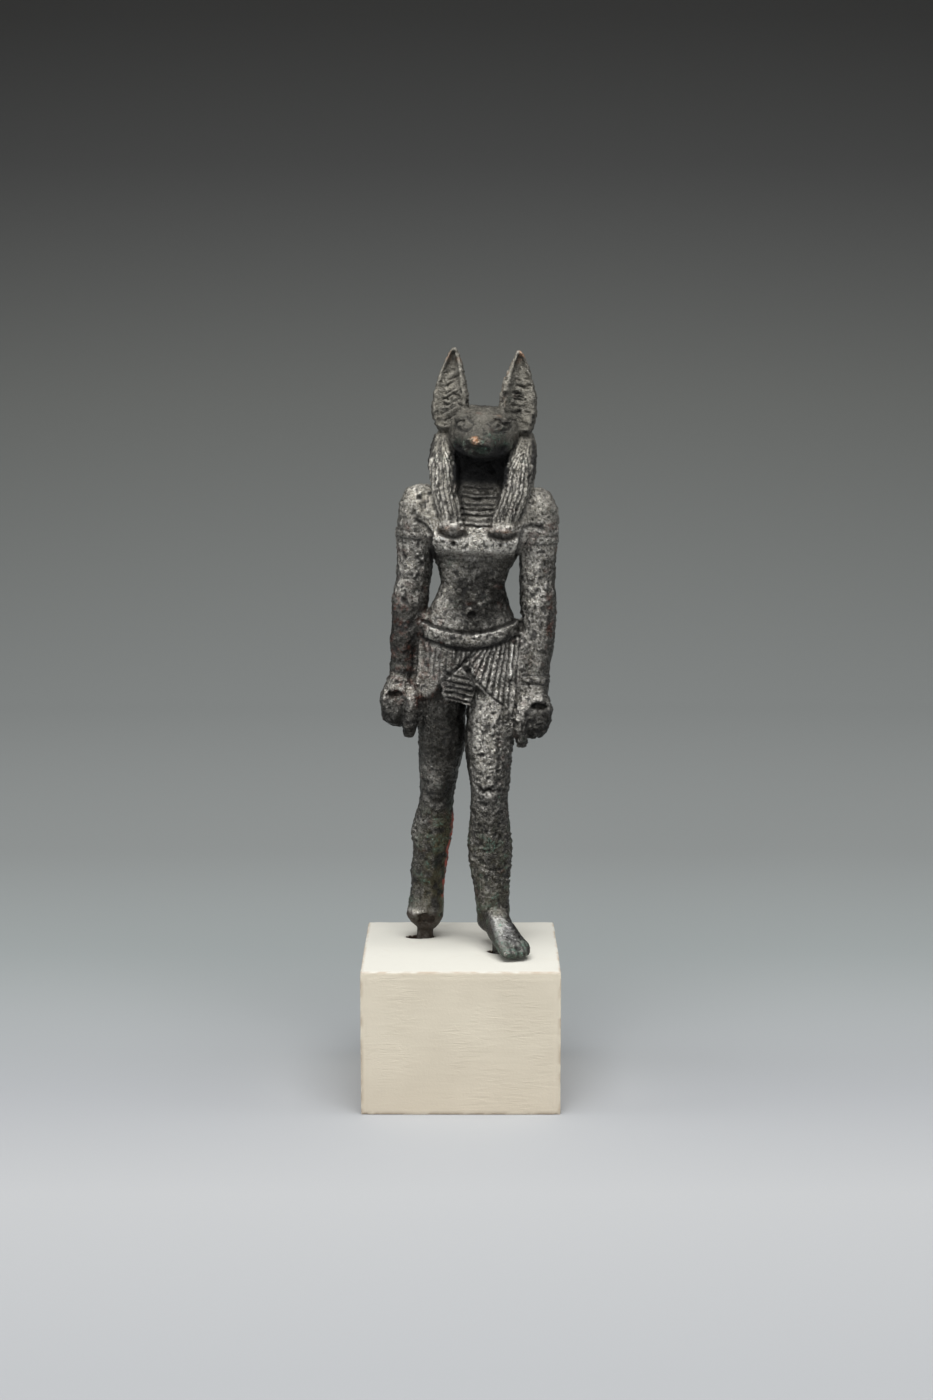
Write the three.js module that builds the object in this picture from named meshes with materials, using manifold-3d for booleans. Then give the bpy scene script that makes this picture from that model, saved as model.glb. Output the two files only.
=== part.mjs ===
// A small cast bronze of a striding jackal-headed god, standing on a painted wooden block.
// Two tangs cast under its legs drop into oval sockets in the block's top.
// Millimetres, +Z up. The figure looks along -Y, and its own right side is at -X.
// The origin is the centre of the block's underside.
import * as THREE from "three";
import { mergeVertices } from "three/addons/utils/BufferGeometryUtils.js";
import Module from "manifold-3d";

const wasm = await Module();
wasm.setup();

// Driving sizes
const BLOCK_WIDTH = 38;
const BLOCK_DEPTH = 38;
const BLOCK_HEIGHT = 28;
const BLOCK_EDGE_RADIUS = 1.3;
const FIGURE_HEIGHT = 116; // from the block's top to the ear tips
const FIGURE_SHIFT = -0.9; // the figure's axis from the block's middle at its top, along X
const FIGURE_LEAN = 2.7; // degrees that the figure leans towards its left
const TANG_DEPTH = 9; // how far each tang reaches below the block's top
const TANG_CLEARANCE = 0.4; // between a tang and the nearest wall and the floor of its socket
const TANG_TAPER = 0.8; // the size of a tang's tip as a share of its root

// The figure is drawn on a canon of 116 units from the block's top to the ear tips.
const CANON = 116;
const UNIT = FIGURE_HEIGHT / CANON;

// A form is a list of sections, each [height, x, y, half width, reach forwards, reach backwards,
// squareness]. Squareness 2 is an ellipse, and more is boxier. Heights run from the block's top.
const TORSO = [
  [97.5, 0.3, 1.2, 3.8, 2.0, 3.6, 2],
  [93.5, 0.2, 1.4, 4.4, 3.0, 4.2, 2],
  [90.6, 0, 1.8, 6.4, 4.2, 4.6, 2.1],
  [89, 0, 2, 10.6, 4.9, 4.8, 2.2],
  [86.6, 0, 2, 12.2, 5.5, 5.0, 2.4],
  [83, 0, 2, 12.0, 5.9, 5.2, 2.5],
  [80.2, 0, 2, 10.4, 6.6, 5.1, 2.6],
  [78.3, 0, 2, 9.0, 6.3, 5.0, 2.5],
  [76.8, 0, 2, 8.1, 4.8, 4.8, 2.4],
  [74, -0.1, 2, 6.8, 4.3, 4.6, 2.3],
  [71.3, -0.1, 2, 6.2, 4.3, 4.5, 2.2],
  [68.5, -0.2, 2, 7.0, 4.9, 4.9, 2.2],
  [64.5, -0.3, 2, 8.9, 5.7, 5.8, 2.2],
  [58, -0.5, 2, 9.7, 5.6, 6.4, 2.3],
  [49.4, -0.5, 2, 9.2, 3.9, 5.6, 2.3],
];
const KILT = [
  [66, -0.3, 2, 8.7, 5.5, 5.6, 2.3],
  [61.5, -0.4, 2, 9.8, 6.1, 6.7, 2.3],
  [55, -0.4, 2, 10.4, 6.6, 7.4, 2.4],
  [51, -0.4, 1.9, 10.4, 7.0, 7.3, 2.4],
  [46.5, -0.4, 1.8, 10.2, 7.5, 7.1, 2.4],
];
// The hem rises from both sides to an apex under the middle of the belt, as [x, height].
const HEM = [
  [-10.8, 48.9],
  [-7.9, 49.3],
  [-5.7, 52.2],
  [-1.6, 55.9],
  [1.5, 52.6],
  [3.4, 50.9],
  [6.4, 48.4],
  [10.4, 47.3],
];
const HEM_BACK = 47.2;
const HEM_BACK_SLOPE = -0.06;
const BELT = { height: 63.0, tall: 2.9, sag: 2.2, half: 9.2, slope: 0.075, backSag: 1.0, proud: 0.35, root: 1.2 };
const REAR_LEG = [
  [51.5, -5.0, 2.8, 4.8, 4.6, 4.8, 2.2],
  [44, -4.85, 3.3, 4.6, 4.8, 4.5, 2.2],
  [39, -4.8, 3.6, 4.5, 4.5, 4.3, 2.2],
  [35.5, -4.9, 3.8, 4.0, 4.3, 4.2, 2.1],
  [29, -5.35, 4.1, 3.35, 3.9, 3.5, 2],
  [25, -5.6, 4.6, 3.75, 3.5, 4.0, 2],
  [21, -5.9, 5.0, 4.05, 3.4, 4.5, 2],
  [15, -6.1, 5.8, 3.45, 3.1, 3.6, 2],
  [11, -6.15, 6.4, 3.15, 3.0, 3.1, 2],
  [7.5, -6.35, 6.7, 3.5, 3.8, 3.4, 2.1],
  [4.2, -6.6, 6.8, 3.65, 4.3, 3.7, 2.3],
  [2.9, -6.4, 6.9, 2.9, 3.2, 3.0, 2.2],
  [1.6, -6.2, 7.1, 1.9, 1.8, 1.8, 2],
];
const FRONT_LEG = [
  [51.5, 4.7, 0.8, 4.9, 5.4, 5.6, 2.2],
  [44, 4.6, -0.2, 4.8, 5.0, 5.0, 2.2],
  [39, 4.6, -0.6, 4.6, 4.8, 4.7, 2.2],
  [35.5, 4.75, -0.9, 4.15, 4.6, 4.3, 2.1],
  [30, 5.0, -1.4, 3.6, 4.1, 3.5, 2],
  [25, 5.3, -1.1, 3.95, 3.6, 4.2, 2],
  [21, 5.55, -0.7, 4.25, 3.4, 4.7, 2],
  [15, 5.95, -0.1, 3.8, 3.1, 3.8, 2],
  [10.5, 6.4, 0.2, 3.3, 3.1, 3.0, 2],
  [7.5, 6.8, 0.4, 3.2, 3.2, 2.8, 2],
  [4.6, 6.9, 0.5, 2.7, 2.8, 2.7, 2],
];
// The foot runs forwards from the heel: [distance, x, height, half width, down, up, squareness].
const FOOT = [
  [-3.3, 0, 5.5, 1.2, 1.0, 1.0, 2],
  [-2.7, 0, 5.4, 2.2, 2.0, 3.4, 2.2],
  [-1.0, 0, 5.5, 2.7, 2.4, 4.6, 2.4],
  [2.6, 0, 5.1, 2.6, 2.2, 3.9, 2.4],
  [5.6, 0, 4.1, 2.7, 1.8, 2.9, 2.4],
  [8.6, 0.1, 3.1, 3.1, 1.5, 2.1, 2.5],
  [11.2, 0.2, 2.5, 3.35, 1.35, 1.6, 2.6],
  [12.9, 0.1, 2.2, 2.9, 1.15, 1.15, 2.5],
  [13.8, 0, 2.1, 1.6, 0.7, 0.7, 2.2],
];
const FOOT_ANKLE = [6.75, 0.5]; // x and y that the foot turns about
const FOOT_TURN = 21; // degrees that the toes point outwards
const TOES = { count: 4, spread: 2.6, from: 10.9, to: 14.2, high: 4.3, low: 2.7, width: 0.45, depth: 0.35 };
const BREAK = { at: [-6.4, 2.0, 2.2], reach: [3.0, 2.6, 3.7], tilt: 8 };
// An arm at the figure's left, down to the wrist. The other one is its mirror image.
const ARM = [
  [89.7, 10.9, 2.0, 1.6, 1.4, 1.4, 2],
  [88.9, 11.3, 2.0, 2.9, 2.7, 2.6, 2],
  [86.3, 12.0, 2.0, 3.6, 3.9, 3.7, 2],
  [82, 12.2, 2.2, 3.65, 4.0, 3.8, 2],
  [77, 12.1, 2.5, 3.55, 3.6, 3.7, 2],
  [72, 12.1, 2.8, 3.4, 3.4, 3.6, 2],
  [67, 12.6, 2.6, 3.5, 3.5, 3.6, 2],
  [61, 13.0, 1.6, 3.1, 3.3, 3.2, 2],
  [55.5, 13.1, 0.7, 2.35, 2.6, 2.6, 2],
  [52.3, 13.2, 0.4, 2.2, 2.6, 2.6, 2],
];
const ELBOW_HEIGHT = 70;
const WRIST_HEIGHT = 53;
const ARMS = [
  { side: 1, rise: 0.5, inwards: 0, handDrop: 1.1, handInwards: 0.5 },
  { side: -1, rise: 0, inwards: 0.6, handDrop: 0, handInwards: 0 },
];
// The fist hangs from the wrist and tips outwards. Its heights run from the wrist.
const FIST = [
  [0.6, 0, 0, 2.0, 2.4, 2.4, 2],
  [-1.8, -0.2, -0.1, 2.8, 3.3, 3.0, 2.3],
  [-4.4, -0.6, -0.2, 3.6, 4.0, 3.7, 2.6],
  [-6.9, -0.8, -0.2, 3.5, 4.0, 3.7, 2.6],
  [-8.7, -0.9, -0.1, 2.6, 3.3, 3.2, 2.4],
  [-9.5, -0.8, 0, 1.3, 2.1, 2.1, 2.2],
];
const WRIST = [13.0, 0.4];
const FIST_TILT = 11;
const THUMB = [
  [-1.4, -1.9, -1.8, 0.6, 0.8, 1.2, 2],
  [-3.4, -2.1, -2.9, 1.3, 1.3, 1.6, 2],
  [-6.0, -2.1, -3.4, 1.35, 1.2, 1.7, 2],
  [-9.0, -2.0, -3.3, 1.4, 1.3, 1.8, 2],
  [-10.6, -1.9, -3.0, 1.15, 1.2, 1.6, 2],
  [-11.4, -1.9, -2.9, 0.6, 0.6, 0.8, 2],
];
const KNUCKLE_HOLLOW = { at: [0.9, -4.1, -3.4], reach: [2.1, 2.2, 0.85], tilt: 16 };
const FINGERS = { count: 3, spread: 2.3, width: 0.5, depth: 0.35 };
const BRACELET = { height: 54.8, tall: 1.5, proud: 0.2 };
const ARMLET = { height: 80.4, tall: 1.5, proud: 0.2 };
// The cast web that joins each forearm to the hip
const WEBS = [
  { side: -1, top: 65.4, bottom: 43.6, y: 0.9, half: 1.9 },
  { side: 1, top: 62.6, bottom: 42.4, y: 0.2, half: 1.8 },
];
const WEB_X = [8.2, 12.2];

// The head has its own frame: it stands a little to its left and looks a little to its right.
const HEAD_SHIFT = 0.7;
const HEAD_TURN = -6;
// Skull and muzzle run forwards: [distance, x, height, half width, down, up, squareness].
const SKULL = [
  [-5.2, 0, 100.2, 2.6, 2.4, 2.2, 2],
  [-3.8, 0, 100.3, 5.2, 4.6, 4.0, 2],
  [-0.6, 0, 100.4, 6.4, 5.2, 4.8, 2.2],
  [2.4, 0, 100.3, 6.5, 5.0, 4.8, 2.3],
  [4.6, 0, 100.0, 5.9, 4.4, 4.2, 2.3],
  [6.8, 0, 99.4, 4.6, 3.6, 3.2, 2.2],
  [9.2, 0, 98.7, 3.4, 2.8, 2.3, 2.3],
  [11.8, 0, 98.4, 2.9, 2.2, 1.7, 2.4],
  [13.6, 0, 98.7, 2.6, 1.7, 1.3, 2.4],
  [14.8, 0, 99.1, 1.6, 0.9, 0.8, 2.2],
];
const BROW = { at: [3.3, -4.7, 103.1], reach: [2.2, 1.6, 0.7], tilt: 16 };
const EYE = { at: [3.3, -5.3, 101.6], reach: [1.4, 1.1, 0.65], tilt: 16 };
const MOUTH = { height: 97.4, drop: -0.3, from: 8.4, to: 14.3, wide: 3.7, narrow: 2.0, width: 0.6, depth: 0.45 };
const EAR = [
  [99.1, 5.5, 1.8, 1.7, 1.2, 1.2, 2],
  [101.3, 6.0, 1.0, 3.2, 1.8, 1.8, 2],
  [104.5, 6.0, 0.8, 3.9, 1.7, 1.9, 2],
  [107.5, 6.05, 0.8, 3.6, 1.5, 1.7, 2],
  [110.5, 6.05, 0.9, 2.85, 1.2, 1.4, 2],
  [113.3, 6.0, 1.1, 1.9, 0.9, 1.0, 2],
  [115.3, 5.9, 1.2, 1.0, 0.7, 0.7, 2],
  [116, 5.85, 1.2, 0.4, 0.4, 0.4, 2],
];
const EAR_AXIS = 6;
const EAR_TURN = 14; // degrees that each ear faces outwards
const EAR_RIM = 0.75; // width of the rim round the hollow
const EAR_HOLLOW_REACH = 1.35; // how deep the hollow goes behind the ear's front
const EAR_HATCH = { count: 5, low: 103.2, pitch: 1.65, rise: 0.62, half: 2.2, narrows: 0.09, width: 0.75, depth: 0.35 };
const EAR_SIDES = [
  { side: 1, outwards: 0.2 },
  { side: -1, outwards: 1.0 },
];
const WIG = [
  [105.2, 0, 2.6, 3.4, 1.6, 2.6, 2],
  [103.9, 0, 2.7, 6.2, 3.0, 4.4, 2],
  [101, 0, 2.9, 8.8, 3.6, 5.6, 2.1],
  [97.8, 0, 3.0, 9.9, 4.4, 6.2, 2.3],
  [93.5, 0, 3.0, 10.0, 5.1, 6.5, 2.4],
  [89, 0, 3.1, 9.5, 5.0, 6.3, 2.4],
  [85, 0, 3.6, 7.6, 3.6, 5.3, 2.5],
  [81.8, 0, 4.0, 6.2, 2.2, 4.0, 2.6],
];
const WIG_STRANDS = 17;
const LAPPET = [
  [99.5, 8.0, 0.4, 1.6, 2.0, 3.0, 2.2],
  [97.2, 7.6, -0.9, 2.7, 2.6, 3.4, 2.4],
  [94, 7.25, -2.1, 3.1, 3.0, 3.6, 2.6],
  [89.5, 6.7, -3.1, 2.8, 3.0, 3.6, 2.6],
  [85, 5.3, -3.8, 2.4, 2.8, 3.6, 2.6],
  [83.5, 5.0, -3.9, 2.25, 2.7, 3.6, 2.6],
  [83.2, 4.95, -3.9, 2.6, 3.2, 3.6, 2.6],
  [82.0, 4.75, -3.9, 2.55, 3.2, 3.6, 2.6],
];
const LAPPET_STRANDS = 10;
const STRAND_DEPTH = 0.3;
const THROAT = { half: 4.3, high: 97, back: -0.9, front: -9 };

// Carving on the front, in canon units
const COLLAR = { count: 5, low: 82.7, pitch: 1.7, narrow: 2.6, wide: 3.6, width: 0.65, depth: 0.4 };
const NIPPLES = { x: [-4.1, 4.6], height: 79.4, radius: 0.55 };
const NAVEL = { at: [-0.1, 65.7], reach: [0.8, 0.9, 1.0] };
const PLEATS = { count: 11, top: [-0.3, 8.7], bottom: [-1.0, 8.0], width: 0.65, depth: 0.4 };
const WORN_PLEATS = { count: 4, top: [-6.9, -2.4], bottom: [-6.8, -2.8], width: 0.5, depth: 0.22 };
const PLEAT_GAP = 0.45; // from a pleat's ends to the belt and the hem
const TAB = {
  left: [[-1.9, 56.1], [-5.7, 52.2], [-4.4, 49.6]],
  right: [[-1.2, 56.1], [1.5, 52.3], [0.3, 48.7]],
  rows: 4,
  proud: 0.55,
  root: 3,
};
const TAB_STRIPES = { count: 4, start: [-4.9, 52.9], step: [0.2, -1.02], run: [5.3, -0.75], width: 0.5, depth: 0.35 };

// A tang stands at a place of the canon's plan. Its half sizes are in mm, and so is the slack
// by which the middle of its oval socket is off its own.
const REAR_TANG = { at: [-6.3, 7.2], half: [1.8, 1.4], slack: [-0.85, 0], turn: 4 };
const FRONT_TANG = { at: [8.8, -4.6], half: [1.9, 1.3], slack: [-0.3, 0.1], turn: -14 };
const TANG_TOP = 4.6; // how far a tang runs up into the leg or foot, in canon units

const TORSO_SIDES = 24;
const KILT_SIDES = 30;
const LEG_SIDES = 14;
const ARM_SIDES = 12;
const THUMB_SIDES = 8;
const SKULL_SIDES = 18;
const EAR_POINTS = 12;
const SOCKET_SIDES = 16;
const BALL_SIDES = [9, 6];
const BISECTIONS = 24;

const { degToRad: radians, lerp, clamp } = THREE.MathUtils;
const share = (i, count) => (count > 1 ? i / (count - 1) : 0);
const times = (count, make) => Array.from({ length: count }, (_, i) => make(i));

// Makes a manifold solid of a closed geometry, whichever way round its faces were wound.
function solid(geometry) {
  const bare = geometry.clone();
  bare.deleteAttribute("normal");
  bare.deleteAttribute("uv");
  const merged = mergeVertices(bare, 1e-4);
  const triVerts = new Uint32Array(merged.index.array);
  const vertProperties = merged.attributes.position.array;
  const made = new wasm.Manifold(new wasm.Mesh({ numProp: 3, vertProperties, triVerts }));
  if (made.volume() > 0) return made;
  triVerts.reverse();
  return new wasm.Manifold(new wasm.Mesh({ numProp: 3, vertProperties, triVerts }));
}

const join = (parts) => parts.reduce((all, part) => all.add(part));
const cut = (body, parts) => parts.reduce((all, part) => all.subtract(part), body);

function geometryOf(made) {
  const { vertProperties, triVerts } = made.getMesh();
  const indexed = new THREE.BufferGeometry()
    .setAttribute("position", new THREE.BufferAttribute(new Float32Array(vertProperties), 3))
    .setIndex(new THREE.BufferAttribute(new Uint32Array(triVerts), 1));
  const faceted = indexed.toNonIndexed();
  faceted.computeVertexNormals();
  return faceted;
}

// The section of a form at any height between its ends, on a smooth curve through its sections.
function sectionsOf(form) {
  const size = form[0].length;
  const numbers = form.map((_, i) => i);
  const curve = new THREE.CubicInterpolant(numbers, form.flat(), size, new Float32Array(size));
  return (height) => {
    let [above, below] = [0, form.length - 1];
    for (let i = 0; i < BISECTIONS; i++) {
      const middle = (above + below) / 2;
      if (curve.evaluate(middle)[0] > height) above = middle;
      else below = middle;
    }
    return Array.from(curve.evaluate(above));
  };
}

const bulge = (value, squareness) => Math.sign(value) * Math.abs(value) ** (2 / squareness);

// The point of a section at an angle from +X towards +Y, drawn in from the rim by an inset.
function rimPoint([height, x, y, half, front, back, squareness], angle, inset = 0) {
  const across = bulge(Math.cos(angle), squareness);
  const along = bulge(Math.sin(angle), squareness);
  const reach = (along < 0 ? front : back) - inset;
  return new THREE.Vector3(x + (half - inset) * across, y + reach * along, height);
}

// The front surface of a form, as y at an x and a height.
function frontOf(form) {
  const sectionAt = sectionsOf(form);
  return (x, height) => {
    const [, cx, cy, half, front, , squareness] = sectionAt(height);
    const across = Math.min(0.995, Math.abs(x - cx) / half);
    return cy - front * (1 - across ** squareness) ** (1 / squareness);
  };
}

// Joins rings of points, all of one length, into a closed skin: a tube with ends, or a loop.
function skin(rings, loop = false) {
  const sides = rings[0].length;
  const count = rings.length * sides;
  const points = rings.flat();
  const faces = [];
  const face = (a, b, c) => faces.push(a, b, c);
  for (let i = 0; i < rings.length - (loop ? 0 : 1); i++) {
    for (let j = 0; j < sides; j++) {
      const [a, b] = [i * sides + j, i * sides + ((j + 1) % sides)];
      const [c, d] = [(a + sides) % count, (b + sides) % count];
      face(a, b, d);
      face(a, d, c);
    }
  }
  if (loop) return new THREE.BufferGeometry().setFromPoints(points).setIndex(faces);
  for (const ring of [0, rings.length - 1]) {
    const middle = rings[ring].reduce((sum, p) => sum.add(p), new THREE.Vector3()).divideScalar(sides);
    const hub = points.push(middle) - 1;
    for (let j = 0; j < sides; j++) {
      const [a, b] = [ring * sides + j, ring * sides + ((j + 1) % sides)];
      if (ring) face(hub, a, b);
      else face(hub, b, a);
    }
  }
  return new THREE.BufferGeometry().setFromPoints(points).setIndex(faces);
}

// A form lofted through its sections. With strands, every other point lies in a groove.
function loft(form, sides, strandDepth = 0) {
  const ring = (section) =>
    times(sides, (j) => rimPoint(section, (2 * Math.PI * j) / sides, j % 2 ? strandDepth : 0));
  return skin(form.map(ring));
}

// Turns a form that was drawn upwards so that it runs forwards, along -Y.
const forwards = (geometry) => geometry.rotateX(Math.PI / 2);

const mirrored = (form) => form.map(([height, x, ...rest]) => [height, -x, ...rest]);

// An ellipsoid, tilted in the front view. On the other side it is a mirror image.
function ball({ at: [x, y, z], reach, tilt = 0 }, side = 1) {
  return new THREE.SphereGeometry(1, ...BALL_SIDES)
    .scale(...reach)
    .rotateY(radians(tilt) * side)
    .translate(x * side, y, z);
}

// A V groove along points of a surface, cut square to it.
function groove(points, outwards, { width, depth }) {
  const rings = points.map((point, i) => {
    const along = points[Math.min(points.length - 1, i + 1)].clone().sub(points[Math.max(0, i - 1)]);
    const out = outwards(point);
    const across = along.normalize().cross(out).normalize();
    const corner = (lift, aside) =>
      point.clone().addScaledVector(out, lift).addScaledVector(across, aside * width);
    return [corner(-depth, 0), corner(depth, 1), corner(depth, -1)];
  });
  return solid(skin(rings));
}

// A groove from one place of the front view to another, [x, height], on the front of a form.
function frontGroove(form, start, end, size, pieces) {
  const front = frontOf(form);
  const nudge = 0.2;
  const points = times(pieces + 1, (i) => {
    const [x, height] = [0, 1].map((k) => lerp(start[k], end[k], i / pieces));
    return new THREE.Vector3(x, front(x, height), height);
  });
  const outwards = ({ x, z }) => {
    const slope = (front(x + nudge, z) - front(x - nudge, z)) / (2 * nudge);
    return new THREE.Vector3(slope, -1, 0).normalize();
  };
  return groove(points, outwards, size);
}

// A form with a low raised band round it.
function banded(form, { height, tall, proud }) {
  const sectionAt = sectionsOf(form);
  const edge = (up, out) => {
    const [at, x, y, half, front, back, squareness] = sectionAt(height + up);
    return [at, x, y, half + out, front + out, back + out, squareness];
  };
  const rings = [[0.5, 0], [0.4, proud], [-0.4, proud], [-0.5, 0]].map(([up, out]) => edge(up * tall, out));
  const [above, below] = [rings[0][0], rings.at(-1)[0]];
  return [...form.filter(([at]) => at > above), ...rings, ...form.filter(([at]) => at < below)];
}

// A raised belt round a form. middleAt gives the height of its middle at a point of the rim.
function belt(form, sides, { height, tall, proud, root }, middleAt) {
  const sectionAt = sectionsOf(form);
  const chamfer = proud / 2;
  const rings = times(sides, (j) => {
    const angle = (2 * Math.PI * j) / sides;
    const middle = middleAt(rimPoint(sectionAt(height), angle));
    const corner = (out, up) => rimPoint(sectionAt(middle + up), angle, -out);
    return [
      corner(-root, -tall / 2),
      corner(proud, chamfer - tall / 2),
      corner(proud, tall / 2 - chamfer),
      corner(-root, tall / 2),
    ];
  });
  return solid(skin(rings, true));
}

// The value of a broken line through [x, value] points.
function brokenLine(points) {
  return (x) => {
    const next = Math.max(1, points.findIndex(([at]) => at >= x));
    const [[x0, v0], [x1, v1]] = x > points.at(-1)[0] ? points.slice(-2) : [points[next - 1], points[next]];
    return lerp(v0, v1, clamp((x - x0) / (x1 - x0), 0, 1));
  };
}

const hemAt = brokenLine(HEM);

function beltMiddle({ x, y }) {
  const { height, sag, half, slope, backSag } = BELT;
  const across = clamp(Math.abs(x) / half, 0, 1);
  const front = height + slope * x - sag * (1 - across ** 2);
  return y < KILT[0][2] ? front : height + slope * x - backSag * (1 - across ** 2);
}

function makeKilt() {
  const sectionAt = sectionsOf(KILT);
  const rows = KILT.length;
  const columns = times(KILT_SIDES, (j) => {
    const angle = (2 * Math.PI * j) / KILT_SIDES;
    const { x, y } = rimPoint(sectionAt(HEM_BACK), angle);
    const top = beltMiddle({ x, y });
    const hem = y < KILT[0][2] ? hemAt(x) : HEM_BACK + HEM_BACK_SLOPE * x;
    return times(rows, (i) => rimPoint(sectionAt(lerp(top, hem, share(i, rows))), angle));
  });
  return solid(skin(times(rows, (i) => columns.map((column) => column[i]))));
}

function pleatCuts({ count, top, bottom, ...size }, pieces) {
  return times(count, (i) => {
    const [high, low] = [lerp(...top, share(i, count)), lerp(...bottom, share(i, count))];
    const belt = beltMiddle({ x: high, y: 0 }) - BELT.tall / 2;
    return frontGroove(KILT, [high, belt - PLEAT_GAP], [low, hemAt(low) + PLEAT_GAP], size, pieces);
  });
}

// The striped tab hangs in front of the kilt, between two broken lines of the front view.
function makeTab() {
  const front = frontOf(KILT);
  const { left, right, rows, proud, root } = TAB;
  const edge = (line, i) => {
    const t = share(i, rows + 1) * (line.length - 1);
    const k = Math.min(line.length - 2, Math.floor(t));
    return [0, 1].map((axis) => lerp(line[k][axis], line[k + 1][axis], t - k));
  };
  const rings = times(rows + 1, (i) => {
    const [start, end] = [edge(left, i), edge(right, i)];
    const row = times(5, (j) => [0, 1].map((axis) => lerp(start[axis], end[axis], j / 4)));
    const place = (out) => ([x, height]) => new THREE.Vector3(x, front(x, height) - out, height);
    return [...row.map(place(proud)), ...row.reverse().map(place(-root))];
  });
  const raised = KILT.map(([height, x, y, half, reach, ...rest]) => [height, x, y, half, reach + proud, ...rest]);
  const { count, start, step, run, ...size } = TAB_STRIPES;
  const stripes = times(count, (i) => {
    const from = [0, 1].map((axis) => start[axis] + i * step[axis]);
    const to = [0, 1].map((axis) => from[axis] + run[axis]);
    return frontGroove(raised, from, to, size, 2);
  });
  return cut(solid(skin(rings)), stripes);
}

// The belt follows the waist above the kilt and the kilt below it.
function makeBelt() {
  const waist = TORSO.filter(([height]) => height > KILT[0][0] + 1);
  return belt([...waist, ...KILT], KILT_SIDES, BELT, beltMiddle);
}

function makeTorso() {
  const front = frontOf(TORSO);
  const trunk = join([
    solid(loft(TORSO, TORSO_SIDES)),
    cut(makeKilt(), [...pleatCuts(PLEATS, 2), ...pleatCuts(WORN_PLEATS, 1)]),
    makeBelt(),
    makeTab(),
  ]);
  const collar = times(COLLAR.count, (i) => {
    const height = COLLAR.low + i * COLLAR.pitch;
    const half = lerp(COLLAR.narrow, COLLAR.wide, share(i, COLLAR.count));
    return frontGroove(TORSO, [-half, height], [half, height], COLLAR, 2);
  });
  const { radius, height } = NIPPLES;
  const nipples = NIPPLES.x.map((x) => ball({ at: [x, front(x, height), height], reach: [radius, radius, radius] }));
  const [x, z] = NAVEL.at;
  const navel = ball({ at: [x, front(x, z), z], reach: NAVEL.reach });
  return cut(trunk, [...collar, ...[...nipples, navel].map(solid)]);
}

function makeFoot() {
  const { count, spread, from, to, high, low, ...size } = TOES;
  const toes = times(count, (i) => {
    const x = lerp(-spread, spread, (i + 0.5) / count);
    const points = [0, 1].map((t) => new THREE.Vector3(x, -lerp(from, to, t), lerp(high, low, t)));
    return groove(points, () => new THREE.Vector3(0, 0, 1), size);
  });
  return cut(solid(forwards(loft(FOOT, LEG_SIDES))), toes)
    .rotate([0, 0, FOOT_TURN])
    .translate([...FOOT_ANKLE, 0]);
}

function makeLegs() {
  const rear = solid(loft(REAR_LEG, LEG_SIDES)).subtract(solid(ball(BREAK)));
  return join([rear, solid(loft(FRONT_LEG, LEG_SIDES)), makeFoot()]);
}

// The fist closes round an empty hollow, with its fingers curled under it.
function makeFist(side) {
  const form = side > 0 ? FIST : mirrored(FIST);
  const { count, spread, ...size } = FINGERS;
  const palm = sectionsOf(form)(-6);
  const fingers = times(count, (i) => {
    const y = lerp(-spread, spread, share(i, count));
    const corners = [[1, -5.4], [0.9, -9], [-0.2, -10.2]];
    const points = corners.map(([across, height]) => new THREE.Vector3(side * across * palm[3], y, height));
    return groove(points, () => new THREE.Vector3(side, 0, -0.8).normalize(), size);
  });
  const fist = cut(solid(loft(form, ARM_SIDES)), [solid(ball(KNUCKLE_HOLLOW, side)), ...fingers]);
  const thumb = solid(loft(side > 0 ? THUMB : mirrored(THUMB), THUMB_SIDES));
  return fist.rotate([0, -side * FIST_TILT, 0]).add(thumb);
}

function makeArm({ side, rise, inwards, handDrop, handInwards }) {
  const form = ARM.map(([height, x, ...rest]) => {
    const up = rise * clamp((height - ELBOW_HEIGHT) / (ARM[0][0] - ELBOW_HEIGHT), 0, 1);
    const down = handDrop * clamp((ELBOW_HEIGHT - height) / (ELBOW_HEIGHT - WRIST_HEIGHT), 0, 1);
    const aside = (inwards * clamp(height - WRIST_HEIGHT, 0, 4)) / 4;
    return [height + up - down, side * (x - aside), ...rest];
  });
  const bracelet = { ...BRACELET, height: BRACELET.height - handDrop };
  const wrist = [side * (WRIST[0] - handInwards), WRIST[1], WRIST_HEIGHT - handDrop];
  const arm = solid(loft(banded(banded(form, bracelet), ARMLET), ARM_SIDES));
  return arm.add(makeFist(side).translate(wrist));
}

function makeWeb({ side, top, bottom, y, half }) {
  const [inner, outer] = WEB_X;
  const [middle, across] = [(side * (inner + outer)) / 2, (outer - inner) / 2];
  const form = [
    [top, middle, y, across, half * 0.5, half * 0.5, 3],
    [top - half, middle, y, across, half, half, 3],
    [bottom, middle, y, across, half, half, 3],
  ];
  return solid(loft(form, 8));
}

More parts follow.
